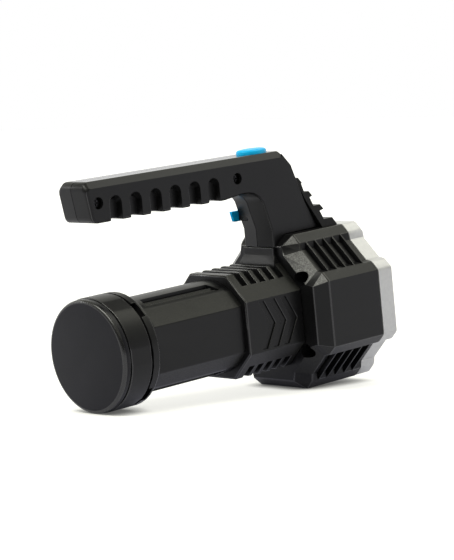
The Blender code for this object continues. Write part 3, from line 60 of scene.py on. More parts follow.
def addNode(tree, kind, settings=None, links=None):
    # settings name an input socket or the node's own property; links name an input socket
    node = tree.nodes.new(kind)
    for key, value in (settings or {}).items():
        if isinstance(key, int) or key in node.inputs:
            node.inputs[key].default_value = value
        else:
            setattr(node, key, value)
    for key, socket in (links or {}).items():
        tree.links.new(socket, node.inputs[key])
    return node


def newMaterial(name, constants):
    material = bpy.data.materials.new(name)
    material.use_nodes = True
    tree = material.node_tree
    shader = tree.nodes["Principled BSDF"]
    for key, value in constants.items():
        shader.inputs[key].default_value = value
    where = addNode(tree, "ShaderNodeTexCoord")
    return material, tree, shader, where.outputs["Object"]


def colorStops(node, stops):
    ramp = node.color_ramp
    ramp.elements[0].position, ramp.elements[0].color = stops[0]
    ramp.elements[1].position, ramp.elements[1].color = stops[1]
    return node.outputs["Color"]


def grainedSurface(name, look):
    # a tint that drifts slowly, and one fine grain that drives both the gloss and the relief
    material, tree, shader, place = newMaterial(name, look["shader"])
    drift = addNode(
        tree, "ShaderNodeTexNoise", {"Scale": 1 / look["driftSize"], "Detail": 3.0}, {"Vector": place},
    )
    tint = addNode(tree, "ShaderNodeValToRGB", {}, {"Fac": drift.outputs["Fac"]})
    tintColor = colorStops(tint, [(0.3, hexColor(look["dark"])), (0.7, hexColor(look["light"]))])
    grain = addNode(
        tree, "ShaderNodeTexNoise", {"Scale": 1 / look["grainSize"], "Detail": 2.0, "Roughness": 0.6},
        {"Vector": place},
    )
    sheen = addNode(
        tree, "ShaderNodeMapRange",
        {"From Min": 0.3, "From Max": 0.7, "To Min": look["roughLow"], "To Max": look["roughHigh"]},
        {"Value": grain.outputs["Fac"]},
    )
    relief = addNode(
        tree, "ShaderNodeBump", {"Strength": look["grainStrength"], "Distance": look["grainDepth"]},
        {"Height": grain.outputs["Fac"]},
    )
    tree.links.new(tintColor, shader.inputs["Base Color"])
    tree.links.new(sheen.outputs["Result"], shader.inputs["Roughness"])
    tree.links.new(relief.outputs["Normal"], shader.inputs["Normal"])
    return material


# ABS from a spark-eroded mould: an even fine grain and a soft gloss that turns grey where it faces the light
blackAbs = grainedSurface("blackAbsFineGrain", {
    "shader": {"IOR": 1.54, "Specular IOR Level": 0.21}, "dark": "#0f0f11", "light": "#131314",
    "driftSize": 22 * mm,
    "grainSize": 0.45 * mm,  # the real grain is about 0.1 mm, drawn coarser so that it shows
    "grainStrength": 0.22, "grainDepth": 0.04 * mm, "roughLow": 0.32, "roughHigh": 0.42,
})

# the same ABS on the tail disc and the handle's shoulders: a shade cooler and duller
dullAbs = grainedSurface("blackAbsDullGrain", {
    "shader": {"IOR": 1.54, "Specular IOR Level": 0.16}, "dark": "#0e0e14", "light": "#131319",
    "driftSize": 14 * mm, "grainSize": 0.45 * mm, "grainStrength": 0.2, "grainDepth": 0.04 * mm,
    "roughLow": 0.3, "roughHigh": 0.4,
})

# the same ABS where handling has rubbed the moulded edges smooth: they shine more than the grained faces
rubbedAbs = grainedSurface("blackAbsRubbedEdge", {
    "shader": {"IOR": 1.54, "Specular IOR Level": 0.54}, "dark": "#101011", "light": "#151515",
    "driftSize": 3 * mm, "grainSize": 0.3 * mm, "grainStrength": 0.25, "grainDepth": 0.03 * mm,
    "roughLow": 0.2, "roughHigh": 0.32,
})

# the same ABS from a lightly blasted part of the mould: the slanted strips of barrel and collar, and the
# head's lower cut corners
blastedAbs = grainedSurface("blackAbsBlastedGrain", {
    "shader": {"IOR": 1.54, "Specular IOR Level": 0.26}, "dark": "#111110", "light": "#171715",
    "driftSize": 9 * mm, "grainSize": 0.6 * mm, "grainStrength": 0.5, "grainDepth": 0.09 * mm,
    "roughLow": 0.38, "roughHigh": 0.55,
})

# the same ABS from a polished part of the mould: the handle's top, which mirrors the sky at a low angle
polishedAbs = grainedSurface("blackAbsPolished", {
    "shader": {"IOR": 1.54}, "dark": "#101012", "light": "#141415", "driftSize": 22 * mm,
    "grainSize": 0.6 * mm, "grainStrength": 0.06, "grainDepth": 0.02 * mm, "roughLow": 0.1,
    "roughHigh": 0.16,
})

# deep leather-like spark grain on the head's upper cut corners, whose bumps glint one by one: its pale
# speckled base colour is painted highlight, standing in for those glints
coarseAbsPaintedGlints = grainedSurface("blackAbsCoarseGrainPaintedGlints", {
    # the dark and light colours are painted highlight, far paler than the black ABS around them
    "shader": {"IOR": 1.54, "Specular IOR Level": 0.45}, "dark": "#3c3c3c", "light": "#858584",
    "driftSize": 0.6 * mm, "grainSize": 0.45 * mm, "grainStrength": 1.0, "grainDepth": 0.22 * mm,
    "roughLow": 0.26, "roughHigh": 0.46,
})

# ABS with a sprayed silver coat: fine metal flake under a thin clear layer, a soft pearly grey
silverCoat = grainedSurface("silverSprayedAbs", {
    "shader": {"Metallic": 0.35, "Coat Weight": 0.25, "Coat Roughness": 0.25}, "dark": "#cccccf",
    "light": "#d3d3d5", "driftSize": 1.5 * mm,
    "grainSize": 0.35 * mm,  # flake, really about 0.05 mm
    "grainStrength": 0.12, "grainDepth": 0.03 * mm, "roughLow": 0.34, "roughHigh": 0.46,
})

# self-coloured blue ABS, polished mould: clear satin blue
blueAbs = grainedSurface("blueSatinAbs", {
    "shader": {"IOR": 1.54, "Specular IOR Level": 0.2}, "dark": "#08bafe", "light": "#14c4ff",
    "driftSize": 6 * mm, "grainSize": 0.3 * mm, "grainStrength": 0.1, "grainDepth": 0.02 * mm,
    "roughLow": 0.3, "roughHigh": 0.4,
})

# moulded blue thermoplastic rubber: duller than the button, slightly soft edges
blueRubber = grainedSurface("blueMouldedRubber", {
    "shader": {"IOR": 1.5, "Specular IOR Level": 0.08}, "dark": "#02b2fe", "light": "#06bcff",
    "driftSize": 4 * mm, "grainSize": 0.35 * mm, "grainStrength": 0.3, "grainDepth": 0.04 * mm,
    "roughLow": 0.55, "roughHigh": 0.7,
})

# nitrile rubber, press moulded: dull black with a dusty bloom
nitrileRubber = grainedSurface("blackNitrileRubber", {
    "shader": {"IOR": 1.52, "Specular IOR Level": 0.35}, "dark": "#171717", "light": "#212120",
    "driftSize": 5 * mm, "grainSize": 0.3 * mm, "grainStrength": 0.35, "grainDepth": 0.04 * mm,
    "roughLow": 0.65, "roughHigh": 0.82,
})

# phosphated steel screws: dark grey crystals with a dull shine
phosphatedSteel = grainedSurface("phosphatedSteel", {
    "shader": {"Metallic": 1.0}, "dark": "#3c3c3e", "light": "#4d4d4f", "driftSize": 1.2 * mm,
    "grainSize": 0.2 * mm, "grainStrength": 0.3, "grainDepth": 0.02 * mm, "roughLow": 0.34,
    "roughHigh": 0.5,
})

# nickel-plated steel: contact plate, spring, solder dots and cell ends, bright and slightly yellow
nickelPlate = grainedSurface("nickelPlatedSteel", {
    "shader": {"Metallic": 1.0}, "dark": "#c2bcb2", "light": "#d2cdc4", "driftSize": 3 * mm,
    "grainSize": 0.25 * mm, "grainStrength": 0.1, "grainDepth": 0.01 * mm, "roughLow": 0.18,
    "roughHigh": 0.3,
})

# stamped brass strip, a little tarnished
stampedBrass = grainedSurface("stampedBrass", {
    "shader": {"Metallic": 1.0}, "dark": "#c9a04e", "light": "#e0ba68", "driftSize": 2.5 * mm,
    "grainSize": 0.25 * mm, "grainStrength": 0.15, "grainDepth": 0.01 * mm, "roughLow": 0.25,
    "roughHigh": 0.42,
})

# moulded polypropylene, natural grey: waxy, a little light comes through
greyPolypropylene = grainedSurface("greyPolypropylene", {
    "shader": {"IOR": 1.49, "Subsurface Weight": 0.1, "Subsurface Scale": 0.002}, "dark": "#a8a8a2",
    "light": "#b2b2ad", "driftSize": 8 * mm, "grainSize": 0.5 * mm, "grainStrength": 0.15,
    "grainDepth": 0.03 * mm, "roughLow": 0.45, "roughHigh": 0.58,
})

# PVC shrink sleeve on the cell, glossy green with small wrinkles
shrinkSleeve = grainedSurface("greenShrinkSleeve", {
    "shader": {"IOR": 1.54, "Coat Weight": 0.3, "Coat Roughness": 0.12}, "dark": "#2c6a3c",
    "light": "#347646", "driftSize": 12 * mm, "grainSize": 1.4 * mm, "grainStrength": 0.2,
    "grainDepth": 0.05 * mm, "roughLow": 0.25, "roughHigh": 0.36,
})

# white solder mask over an aluminium-core board
whiteMask = grainedSurface("whiteSolderMask", {
    "shader": {"IOR": 1.5}, "dark": "#e2e2de", "light": "#ecece9", "driftSize": 2 * mm,
    "grainSize": 0.3 * mm, "grainStrength": 0.12, "grainDepth": 0.02 * mm, "roughLow": 0.35,
    "roughHigh": 0.5,
})

# phosphor in silicone: opaque egg-yolk yellow with a soft skin
phosphorResin = grainedSurface("phosphorSilicone", {
    "shader": {"IOR": 1.43, "Subsurface Weight": 0.2, "Subsurface Scale": 0.001}, "dark": "#e8c93c",
    "light": "#f0d65a", "driftSize": 1.5 * mm, "grainSize": 0.2 * mm, "grainStrength": 0.1,
    "grainDepth": 0.01 * mm, "roughLow": 0.18, "roughHigh": 0.3,
})


def laminateBoard():
    # glass-epoxy board: green mask over a woven glass ground, with paler tracks
    look = {
        "weave": 0.5 * mm, "weaveDepth": 0.02 * mm, "weaveStrength": 0.2, "trackWidth": 2.2 * mm,
        "mask": "#0f4a24", "track": "#1c6a38",
    }
    material, tree, shader, place = newMaterial("greenGlassEpoxy", {
        "IOR": 1.54, "Coat Weight": 0.4, "Coat Roughness": 0.2, "Roughness": 0.42,
    })
    cells = addNode(
        tree, "ShaderNodeTexVoronoi", {"feature": "DISTANCE_TO_EDGE", "Scale": 1 / look["trackWidth"]},
        {"Vector": place},
    )
    tracks = addNode(tree, "ShaderNodeValToRGB", {}, {"Fac": cells.outputs["Distance"]})
    trackColor = colorStops(tracks, [(0.08, hexColor(look["track"])), (0.12, hexColor(look["mask"]))])
    weave = addNode(
        tree, "ShaderNodeTexWave", {"bands_direction": "DIAGONAL", "Scale": bandAtOne / look["weave"]},
        {"Vector": place},
    )
    relief = addNode(
        tree, "ShaderNodeBump", {"Strength": look["weaveStrength"], "Distance": look["weaveDepth"]},
        {"Height": weave.outputs["Fac"]},
    )
    tree.links.new(trackColor, shader.inputs["Base Color"])
    tree.links.new(relief.outputs["Normal"], shader.inputs["Normal"])
    return material


def turnedAluminium():
    # aluminium turned on a lathe and clear anodised: fine rings about the beam, grey and soft
    look = {
        "feed": 0.5 * mm,  # really about 0.1 mm
        "wander": 0.4, "ringDepth": 0.02 * mm, "ringStrength": 0.3, "dark": "#a9abad", "light": "#bdbfc1",
    }
    material, tree, shader, place = newMaterial("turnedAnodisedAluminium", {
        "Metallic": 1.0, "Roughness": 0.36,
    })
    rings = addNode(tree, "ShaderNodeTexWave", {
        "wave_type": "RINGS", "rings_direction": "X", "Scale": bandAtOne / look["feed"],
        "Distortion": look["wander"],
    }, {"Vector": place})
    tint = addNode(tree, "ShaderNodeValToRGB", {}, {"Fac": rings.outputs["Fac"]})
    tintColor = colorStops(tint, [(0.2, hexColor(look["dark"])), (0.8, hexColor(look["light"]))])
    relief = addNode(
        tree, "ShaderNodeBump", {"Strength": look["ringStrength"], "Distance": look["ringDepth"]},
        {"Height": rings.outputs["Fac"]},
    )
    tree.links.new(tintColor, shader.inputs["Base Color"])
    tree.links.new(relief.outputs["Normal"], shader.inputs["Normal"])
    return material


def metallisedBowl():
    # aluminium vapour on moulded plastic: a mirror with a very slight orange peel
    look = {
        "peel": 2.4 * mm, "peelDepth": 0.05 * mm, "peelStrength": 0.12, "roughLow": 0.05, "roughHigh": 0.11,
        "dark": "#dededf", "light": "#e8e8e9",
    }
    material, tree, shader, place = newMaterial("vapourAluminiumMirror", {"Metallic": 1.0})
    peel = addNode(
        tree, "ShaderNodeTexNoise", {"Scale": 1 / look["peel"], "Detail": 1.0}, {"Vector": place},
    )
    tint = addNode(tree, "ShaderNodeValToRGB", {}, {"Fac": peel.outputs["Fac"]})
    tintColor = colorStops(tint, [(0.3, hexColor(look["dark"])), (0.7, hexColor(look["light"]))])
    gloss = addNode(
        tree, "ShaderNodeMapRange", {"To Min": look["roughLow"], "To Max": look["roughHigh"]},
        {"Value": peel.outputs["Fac"]},
    )
    relief = addNode(
        tree, "ShaderNodeBump", {"Strength": look["peelStrength"], "Distance": look["peelDepth"]},
        {"Height": peel.outputs["Fac"]},
    )
    tree.links.new(tintColor, shader.inputs["Base Color"])
    tree.links.new(gloss.outputs["Result"], shader.inputs["Roughness"])
    tree.links.new(relief.outputs["Normal"], shader.inputs["Normal"])
    return material


def clearPolycarbonate():
    # injection-moulded polycarbonate window: clear, polished, with faint handling marks
    look = {"marks": 9 * mm, "roughLow": 0.01, "roughHigh": 0.06, "dark": "#f4f7f8", "light": "#fafcfc"}
    material, tree, shader, place = newMaterial("clearPolycarbonate", {
        "IOR": 1.585, "Transmission Weight": 1.0,
    })
    marks = addNode(
        tree, "ShaderNodeTexNoise", {"Scale": 1 / look["marks"], "Detail": 4.0}, {"Vector": place},
    )
    tint = addNode(tree, "ShaderNodeValToRGB", {}, {"Fac": marks.outputs["Fac"]})
    tintColor = colorStops(tint, [(0.3, hexColor(look["dark"])), (0.7, hexColor(look["light"]))])
    haze = addNode(
        tree, "ShaderNodeMapRange",
        {"From Min": 0.45, "From Max": 0.8, "To Min": look["roughLow"], "To Max": look["roughHigh"]},
        {"Value": marks.outputs["Fac"]},
    )
    tree.links.new(tintColor, shader.inputs["Base Color"])
    tree.links.new(haze.outputs["Result"], shader.inputs["Roughness"])
    return material


greenLaminate = laminateBoard()
turnedMetal = turnedAluminium()
mirrorCoat = metallisedBowl()
clearWindow = clearPolycarbonate()
print("materials ready:", len(bpy.data.materials))


# Modelling helpers

def deselectAll():
    if bpy.context.mode != "OBJECT":
        bpy.ops.object.mode_set(mode="OBJECT")
    bpy.ops.object.select_all(action="DESELECT")


def takeUp(piece):
    deselectAll()
    piece.select_set(True)
    bpy.context.view_layer.objects.active = piece


def editAll(kind):
    bpy.ops.object.mode_set(mode="EDIT")
    bpy.ops.mesh.select_mode(type=kind)
    bpy.ops.mesh.select_all(action="SELECT")


def pick(kind, test):
    # selects the faces, edges or verts of the edited mesh that pass the test
    data = bpy.context.edit_object.data
    bpy.ops.mesh.select_mode(type={"faces": "FACE", "edges": "EDGE", "verts": "VERT"}[kind])
    bpy.ops.mesh.select_all(action="DESELECT")
    mesh = bmesh.from_edit_mesh(data)
    mesh.normal_update()
    found = [item for item in getattr(mesh, kind) if test(item)]
    for item in found:
        item.select_set(True)
    bmesh.update_edit_mesh(data)
    return len(found)


def named(name):
    piece = bpy.context.active_object
    piece.name = piece.data.name = name
    return piece


def placed(name):
    # names a new primitive and puts its place, turn and size into its mesh
    piece = named(name)
    bpy.ops.object.transform_apply(location=True, rotation=True, scale=True)
    return piece


def fromAxis(point):
    return math.hypot(point[1], point[2])


def middleOf(edge):
    return (edge.verts[0].co + edge.verts[1].co) / 2


def outside(radius, rear=-1.0, front=1.0):
    # edges further from the beam's axis than the radius, between two stations
    return lambda edge: fromAxis(middleOf(edge)) > radius and rear < middleOf(edge).x < front


def rimAt(x, radius, slack=0.05 * mm):
    # edges of one circle across the beam
    return lambda edge: all(
        abs(vert.co.x - x) < slack and abs(fromAxis(vert.co) - radius) < slack for vert in edge.verts
    )


def bevelPicked(width, segments, slot=-1, clamp=True):
    # slot is the finish of the new strip, -1 for the finish beside it
    bpy.ops.mesh.bevel(
        offset=width, offset_type="OFFSET", segments=segments, profile=0.5, material=slot,
        clamp_overlap=clamp,
    )


def bevelRims(rims, slot=-1):
    for x, radius, width, segments in rims:
        if pick("edges", rimAt(x, radius)):
            bevelPicked(width, segments, slot)


def turnedPiece(name, stations, sides, filled=True):
    # a ring across the beam, drawn from station to station, each an x and a radius
    x, radius = stations[0]
    deselectAll()
    bpy.ops.mesh.primitive_circle_add(
        vertices=sides, radius=radius, fill_type="NGON" if filled else "NOTHING",
        location=(x, 0, 0), rotation=alongBeam,
    )
    piece = placed(name)
    editAll("FACE" if filled else "EDGE")
    for nextX, nextRadius in stations[1:]:
        bpy.ops.mesh.extrude_region_move(TRANSFORM_OT_translate={"value": (nextX - x, 0, 0)})
        grow = nextRadius / radius
        if abs(grow - 1) > 1e-6:
            bpy.ops.transform.resize(value=(1, grow, grow), center_override=(nextX, 0, 0))
        x, radius = nextX, nextRadius
    bpy.ops.mesh.select_all(action="SELECT")
    bpy.ops.mesh.normals_make_consistent(inside=False)
    return piece


def applyAll(piece):
    takeUp(piece)
    for modifier in list(piece.modifiers):
        bpy.ops.object.modifier_apply(modifier=modifier.name)


def cutWith(piece, cutter):
    tool = piece.modifiers.new("cut", "BOOLEAN")
    tool.operation, tool.solver, tool.object = "DIFFERENCE", "EXACT", cutter
    applyAll(piece)
    bpy.data.objects.remove(cutter, do_unlink=True)


def finishPiece(piece, material, body, stoodFor, smoothAngle=30):
    # place into the mesh, shading, finish, body and the CAD nodes that it stands for
    takeUp(piece)
    bpy.ops.object.transform_apply(location=True, rotation=True, scale=True)
    if not piece.data.materials:
        piece.data.materials.append(material)
    bpy.ops.object.shade_smooth_by_angle(angle=math.radians(smoothAngle))
    if stoodFor:
        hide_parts(*stoodFor)
    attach(piece, body)


def assignWhere(piece, material, test):
    # gives the faces that pass the test another finish, and says how many they are
    takeUp(piece)
    bpy.ops.object.material_slot_add()
    piece.active_material = material
    bpy.ops.object.mode_set(mode="EDIT")
    count = pick("faces", test)
    if count:
        bpy.ops.object.material_slot_assign()
    bpy.ops.object.mode_set(mode="OBJECT")
    return count


def mergedCopy(node, name, finishes=()):
    # a CAD node's mesh is loose triangles: the copy is merged and its flat faces joined again
    look = {"merge": 0.002 * mm, "flat": math.radians(0.8)}
    piece = bpy.data.objects.new(name, nodes[node].data.copy())
    bpy.context.scene.collection.objects.link(piece)
    piece.data.materials.clear()
    for material in finishes:
        piece.data.materials.append(material)
    takeUp(piece)
    bpy.ops.mesh.customdata_custom_splitnormals_clear()
    editAll("VERT")
    bpy.ops.mesh.remove_doubles(threshold=look["merge"])
    bpy.ops.mesh.mark_sharp(clear=True)
    bpy.ops.mesh.dissolve_limited(angle_limit=look["flat"], use_dissolve_boundaries=False)
    return piece


def roundEdges(width, segments, shortest, overAngle, test, slot=-1):
    # rounds the edited mesh's outer edges that are sharper and longer than asked, but not where the
    # new strip would run past the end of a neighbouring edge
    look = {"lengthShare": 0.44, "mostWidths": 2.5, "leastTurn": 0.02, "passes": 8}
    limit = math.radians(overAngle)

    def sharp(edge):
        if not edge.is_manifold or not edge.is_convex or edge.calc_length() < shortest:
            return False
        return edge.calc_face_angle(0) > limit and test(edge)

    def hasRoom(edge):
        for loop in edge.link_loops:
            for near in (loop.link_loop_next.edge, loop.link_loop_prev.edge):
                corner = edge.verts[0] if edge.verts[0] in near.verts else edge.verts[1]
                turn = (edge.other_vert(corner).co - corner.co).angle(near.other_vert(corner).co - corner.co)
                if near in wanted:
                    slide = width / math.tan(max(turn, look["leastTurn"]) / 2)
                else:
                    slide = width / max(math.sin(turn), 1e-4)
                if slide > min(look["lengthShare"] * near.calc_length(), look["mostWidths"] * width):
                    return False
        return True

    mesh = bmesh.from_edit_mesh(bpy.context.edit_object.data)
    mesh.normal_update()
    wanted = {edge for edge in mesh.edges if sharp(edge)}
    for _ in range(look["passes"]):
        kept = {edge for edge in wanted if hasRoom(edge)}
        if len(kept) == len(wanted):
            break
        wanted = kept
    keys = {edge.index for edge in wanted}
    count = pick("edges", lambda edge: edge.index in keys)
    if count:
        bevelPicked(width, segments, slot, False)
    return count


def flatFaces(piece):
    # keeps the broad faces' shading flat, so that only the rounded strips turn
    weigh = piece.modifiers.new("flatFaces", "WEIGHTED_NORMAL")
    weigh.mode, weigh.keep_sharp = "FACE_AREA", True
    weigh.weight = 80  # of 100: the broadest faces nearly alone set the shading
    applyAll(piece)


# Black shells: merged copies of the CAD solids with rounded edges and their own grain on each facet

def makeShell(node, name, look):
    piece = mergedCopy(node, name, [blackAbs, rubbedAbs])
    if look.get("halved"):  # cuts the faces that have holes in two, so that no face winds round a hole
        bpy.ops.mesh.select_all(action="SELECT")
        bpy.ops.mesh.bisect(plane_co=(0, 0, 0), plane_no=(0, 0, 1))
    for test, grow, shift in look.get("swells", ()):
        pick("verts", lambda vert: test(vert.co))
        bpy.ops.transform.resize(value=(1, grow, grow), center_override=(0, 0, 0))
        bpy.ops.transform.translate(value=(shift, 0, 0))
    # each round: width, segments, shortest edge, least angle in degrees, which edges
    counts = [roundEdges(*step, slot=1) for step in look["rounds"]]
    tongue = look.get("tongue")
    if tongue:  # reaches across the seam, so that no light passes between the two shells
        pick("faces", lambda face: face.normal.y > 0.99 and abs(face.calc_center_median().y) < tongue["seam"])
        bpy.ops.mesh.inset(thickness=tongue["inset"], use_boundary=True)
        bpy.ops.mesh.extrude_region_move(TRANSFORM_OT_translate={"value": (0, tongue["tall"], 0)})
        bpy.ops.mesh.remove_doubles(threshold=tongue["merge"])  # the inset folds in narrow corners
    for material, test in look["facets"]:
        counts.append(assignWhere(piece, material, test))
    finishPiece(piece, blackAbs, "housing", [node], look["smooth"])
    flatFaces(piece)
    print(name, "edges and facets:", counts)


def isDiagonal(normal, least):
    return min(abs(normal.y), abs(normal.z)) > least


def onFlange(rear):
    # the rim of the barrel's rear flange, from a station to its front edge
    front, wall = 19.5 * mm, 25.3 * mm
    return lambda spot: rear < spot.x < front and fromAxis(spot) > wall


def offTips(test):
    # the arrows' blunt ends stay sharp: their rims lie too near the collar's edge
    tipZ, slack = 11.2 * mm, 0.05 * mm
    return lambda edge: test(edge) and abs(abs(middleOf(edge).z) - tipZ) > slack


def cutCorner(side):
    # the panels between the fins of the head's cut corners, above (1) or below (-1) the beam
    return lambda face: (
        face.normal.x < -0.25 and isDiagonal(face.normal, 0.18) and face.normal.z * side > 0
        and face.calc_center_median().x < 119 * mm and fromAxis(face.calc_center_median()) > 28 * mm
        and face.calc_area() > 3 * mm2
    )


def offSeam(edge):
    return abs(middleOf(edge).y) > 1 * mm


def upperFace(least, most, height):
    # the handle's broad faces above a height that look up by so much
    return lambda face: (
        least < face.normal.z < most and face.calc_center_median().z > height and face.calc_area() > 20 * mm2
    )


makeShell("barrel_housing", "barrelHousing", {
    "smooth": 32, "halved": True,
    "swells": [  # the rear flange is as wide as the tail ring, and runs a little further forward
        (onFlange(16.7 * mm), 26.1 / 25.5, 0),
        (onFlange(19.3 * mm), 1, 1.0 * mm),
    ],
    "rounds": [
        (0.36 * mm, 3, 2.0 * mm, 33, outside(20.5 * mm, rear=20 * mm)),
        (0.3 * mm, 3, 1.2 * mm, 36, offTips(outside(19.5 * mm, rear=20 * mm))),
        (0.15 * mm, 2, 0.8 * mm, 40, offTips(outside(20.5 * mm))),
    ],
    "facets": [(blastedAbs, lambda face: (
        abs(face.normal.x) < 0.1 and isDiagonal(face.normal, 0.55) and face.calc_area() > 40 * mm2
        and face.calc_center_median().x > 22 * mm
    )), (blackAbs, lambda face: (  # the long edges keep their grain: nothing rubs them
        abs(face.normal.x) < 0.02 and 2 * mm2 < face.calc_area() < 14 * mm2
    ))],
})
makeShell("head_shell", "headShell", {
    "smooth": 32,
    "rounds": [
        (0.5 * mm, 3, 3.0 * mm, 24, outside(28 * mm, front=121 * mm)),
        (0.25 * mm, 3, 1.5 * mm, 30, outside(28 * mm)),
        (0.12 * mm, 2, 0.8 * mm, 36, outside(28 * mm)),
    ],
    # the upper cut corners carry the coarse grain's painted highlight; the lower ones keep a dark blasted
    # grain
    "facets": [(coarseAbsPaintedGlints, cutCorner(1)), (blastedAbs, cutCorner(-1))],
})
for shellNode, shellName, shellTongue in (
    ("handle_shell_right", "handleShellRight", {
        "seam": 0.3 * mm, "inset": 0.25 * mm, "tall": 0.31 * mm, "merge": 0.2 * mm,
    }),
    ("handle_shell_left", "handleShellLeft", None),
):
    makeShell(shellNode, shellName, {
        "smooth": 34, "tongue": shellTongue,
        "rounds": [
            (0.5 * mm, 3, 3.0 * mm, 30, offSeam),
            (0.2 * mm, 2, 1.0 * mm, 36, offSeam),
        ],
        "facets": [(polishedAbs, upperFace(0.9, 1.1, 70 * mm)), (dullAbs, upperFace(0.4, 0.9, 62 * mm))],
    })


# Tail

def makeTailDisc():
    look = {
        "radius": 25.7 * mm, "face": 3.7 * mm, "neck": 20.5 * mm, "rim": 21.5 * mm, "rimLong": 0.8 * mm,
        "faceRound": 1.5 * mm, "backRound": 0.3 * mm, "rimRound": 0.15 * mm,
    }
    low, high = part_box("tail_disc")
    back, rimFrom = low.x + look["face"], high.x - look["rimLong"]
    piece = turnedPiece("tailDisc", [
        (low.x, look["radius"]), (back, look["radius"]), (back, look["neck"]),
        (rimFrom, look["neck"]), (rimFrom, look["rim"]), (high.x, look["rim"]),
    ], 128)
    for material in (dullAbs, rubbedAbs):
        piece.data.materials.append(material)
    bevelRims([
        (low.x, look["radius"], look["faceRound"], 6), (back, look["radius"], look["backRound"], 2),
    ], 1)
    bevelRims([(high.x, look["rim"], look["rimRound"], 1)])
    finishPiece(piece, dullAbs, "tail_disc", ["tail_disc"], 40)


def makeTailRing():
    look = {
        "radius": 26.1 * mm, "flatHalf": math.radians(8.5), "lip": 20.8 * mm, "lipDeep": 1.0 * mm,
        "bore": 22.8 * mm, "overrun": 2 * mm, "flatRound": 0.45 * mm, "boreRound": 0.25 * mm,
    }
    low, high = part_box("tail_ring")
    piece = turnedPiece("tailRing", [(low.x, look["radius"]), (high.x, look["radius"])], 144)
    for index in range(6):  # six shallow finger flats, shaved off one at a time
        angle = index * math.pi / 3
        outward = Vector((0, math.cos(angle), math.sin(angle)))
        bpy.ops.mesh.select_all(action="SELECT")
        bpy.ops.mesh.bisect(
            plane_co=outward * look["radius"] * math.cos(look["flatHalf"]), plane_no=outward,
            clear_outer=True, use_fill=True,
        )
    lipEnd = low.x + look["lipDeep"]
    cutWith(piece, turnedPiece("ringBore", [
        (low.x - look["overrun"], look["lip"]), (lipEnd, look["lip"]),
        (lipEnd, look["bore"]), (high.x + look["overrun"], look["bore"]),
    ], 128))
    for material in (blackAbs, rubbedAbs):
        piece.data.materials.append(material)
    editAll("EDGE")
    flatAt = look["radius"] * math.cos(look["flatHalf"]) - 0.05 * mm
    if pick("edges", lambda edge: (
        abs(edge.verts[0].co.x - edge.verts[1].co.x) < 0.01 * mm and fromAxis(middleOf(edge)) > flatAt
    )):
        bevelPicked(look["flatRound"], 3, 1)
    if pick("edges", lambda edge: (
        all(abs(vert.co.x - high.x) < 0.01 * mm for vert in edge.verts)
        and abs(fromAxis(middleOf(edge)) - look["bore"]) < 0.1 * mm
    )):
        bevelPicked(look["boreRound"], 1)
    finishPiece(piece, blackAbs, "tail_ring", ["tail_ring"], 30)
    flatFaces(piece)


def flatGasket(name, node, body, inner):
    # a torus pressed flat between the faces that it seals
    low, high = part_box(node)
    outer = (high.y - low.y) / 2
    middle = ((low.x + high.x) / 2, 0, 0)
    deselectAll()
    bpy.ops.mesh.primitive_torus_add(
        location=middle, rotation=alongBeam, major_segments=96, minor_segments=12,
        major_radius=(outer + inner) / 2, minor_radius=(outer - inner) / 2,
    )
    piece = placed(name)
    editAll("VERT")
    flatten = (high.x - low.x) / (outer - inner)
    bpy.ops.transform.resize(value=(flatten, 1, 1), center_override=middle)
    finishPiece(piece, nitrileRubber, body, [node], 60)


def makeTailContact():
    look = {"edge": 0.2 * mm}
    low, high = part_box("contact_plate")
    radius = (high.y - low.y) / 2
    plate = turnedPiece("contactPlate", [(low.x, radius), (high.x, radius)], 64)
    bevelRims([(high.x, radius, look["edge"], 2)])
    finishPiece(plate, nickelPlate, "tail_disc", ["contact_plate"])
    spring = mergedCopy("contact_spring", "contactSpring")
    smooth = spring.modifiers.new("smooth", "SUBSURF")
    smooth.levels = smooth.render_levels = 1
    applyAll(spring)
    finishPiece(spring, nickelPlate, "tail_disc", ["contact_spring"], 80)


def makeSpigotThread():
    # a low round thread on the spigot, seen when the ring is unscrewed
    look = {
        "root": 22.35 * mm, "crest": 22.68 * mm, "halfWide": 0.5 * mm, "pitch": 2.0 * mm, "turns": 3,
        "steps": 72, "start": 9.2 * mm,
    }
    foot = (look["start"], 0, look["root"])
    deselectAll()
    bpy.ops.mesh.primitive_circle_add(
        vertices=8, radius=look["halfWide"], fill_type="NOTHING", location=foot, rotation=(math.pi / 2, 0, 0),
    )
    piece = placed("spigotThread")
    editAll("VERT")
    tall = (look["crest"] - look["root"]) / look["halfWide"]
    bpy.ops.transform.resize(value=(1, 1, tall), center_override=foot)
    winding = piece.modifiers.new("winding", "SCREW")
    winding.axis, winding.angle, winding.iterations = "X", math.tau, look["turns"]
    winding.screw_offset, winding.use_merge_vertices = look["pitch"], True
    winding.steps = winding.render_steps = look["steps"]
    applyAll(piece)
    editAll("EDGE")
    bpy.ops.mesh.select_all(action="DESELECT")
    bpy.ops.mesh.select_non_manifold(  # the two open ends
        extend=False, use_wire=False, use_boundary=True, use_multi_face=False, use_non_contiguous=False,
        use_verts=False,
    )
    bpy.ops.mesh.edge_face_add()
    bpy.ops.mesh.select_all(action="SELECT")
    bpy.ops.mesh.normals_make_consistent(inside=False)
    finishPiece(piece, blackAbs, "housing", (), 50)


makeTailDisc()
makeTailRing()
flatGasket("tailGasket", "tail_gasket", "tail_disc", 18.5 * mm)
makeTailContact()
makeSpigotThread()
print("tail done")


# Bezel, window and lamp

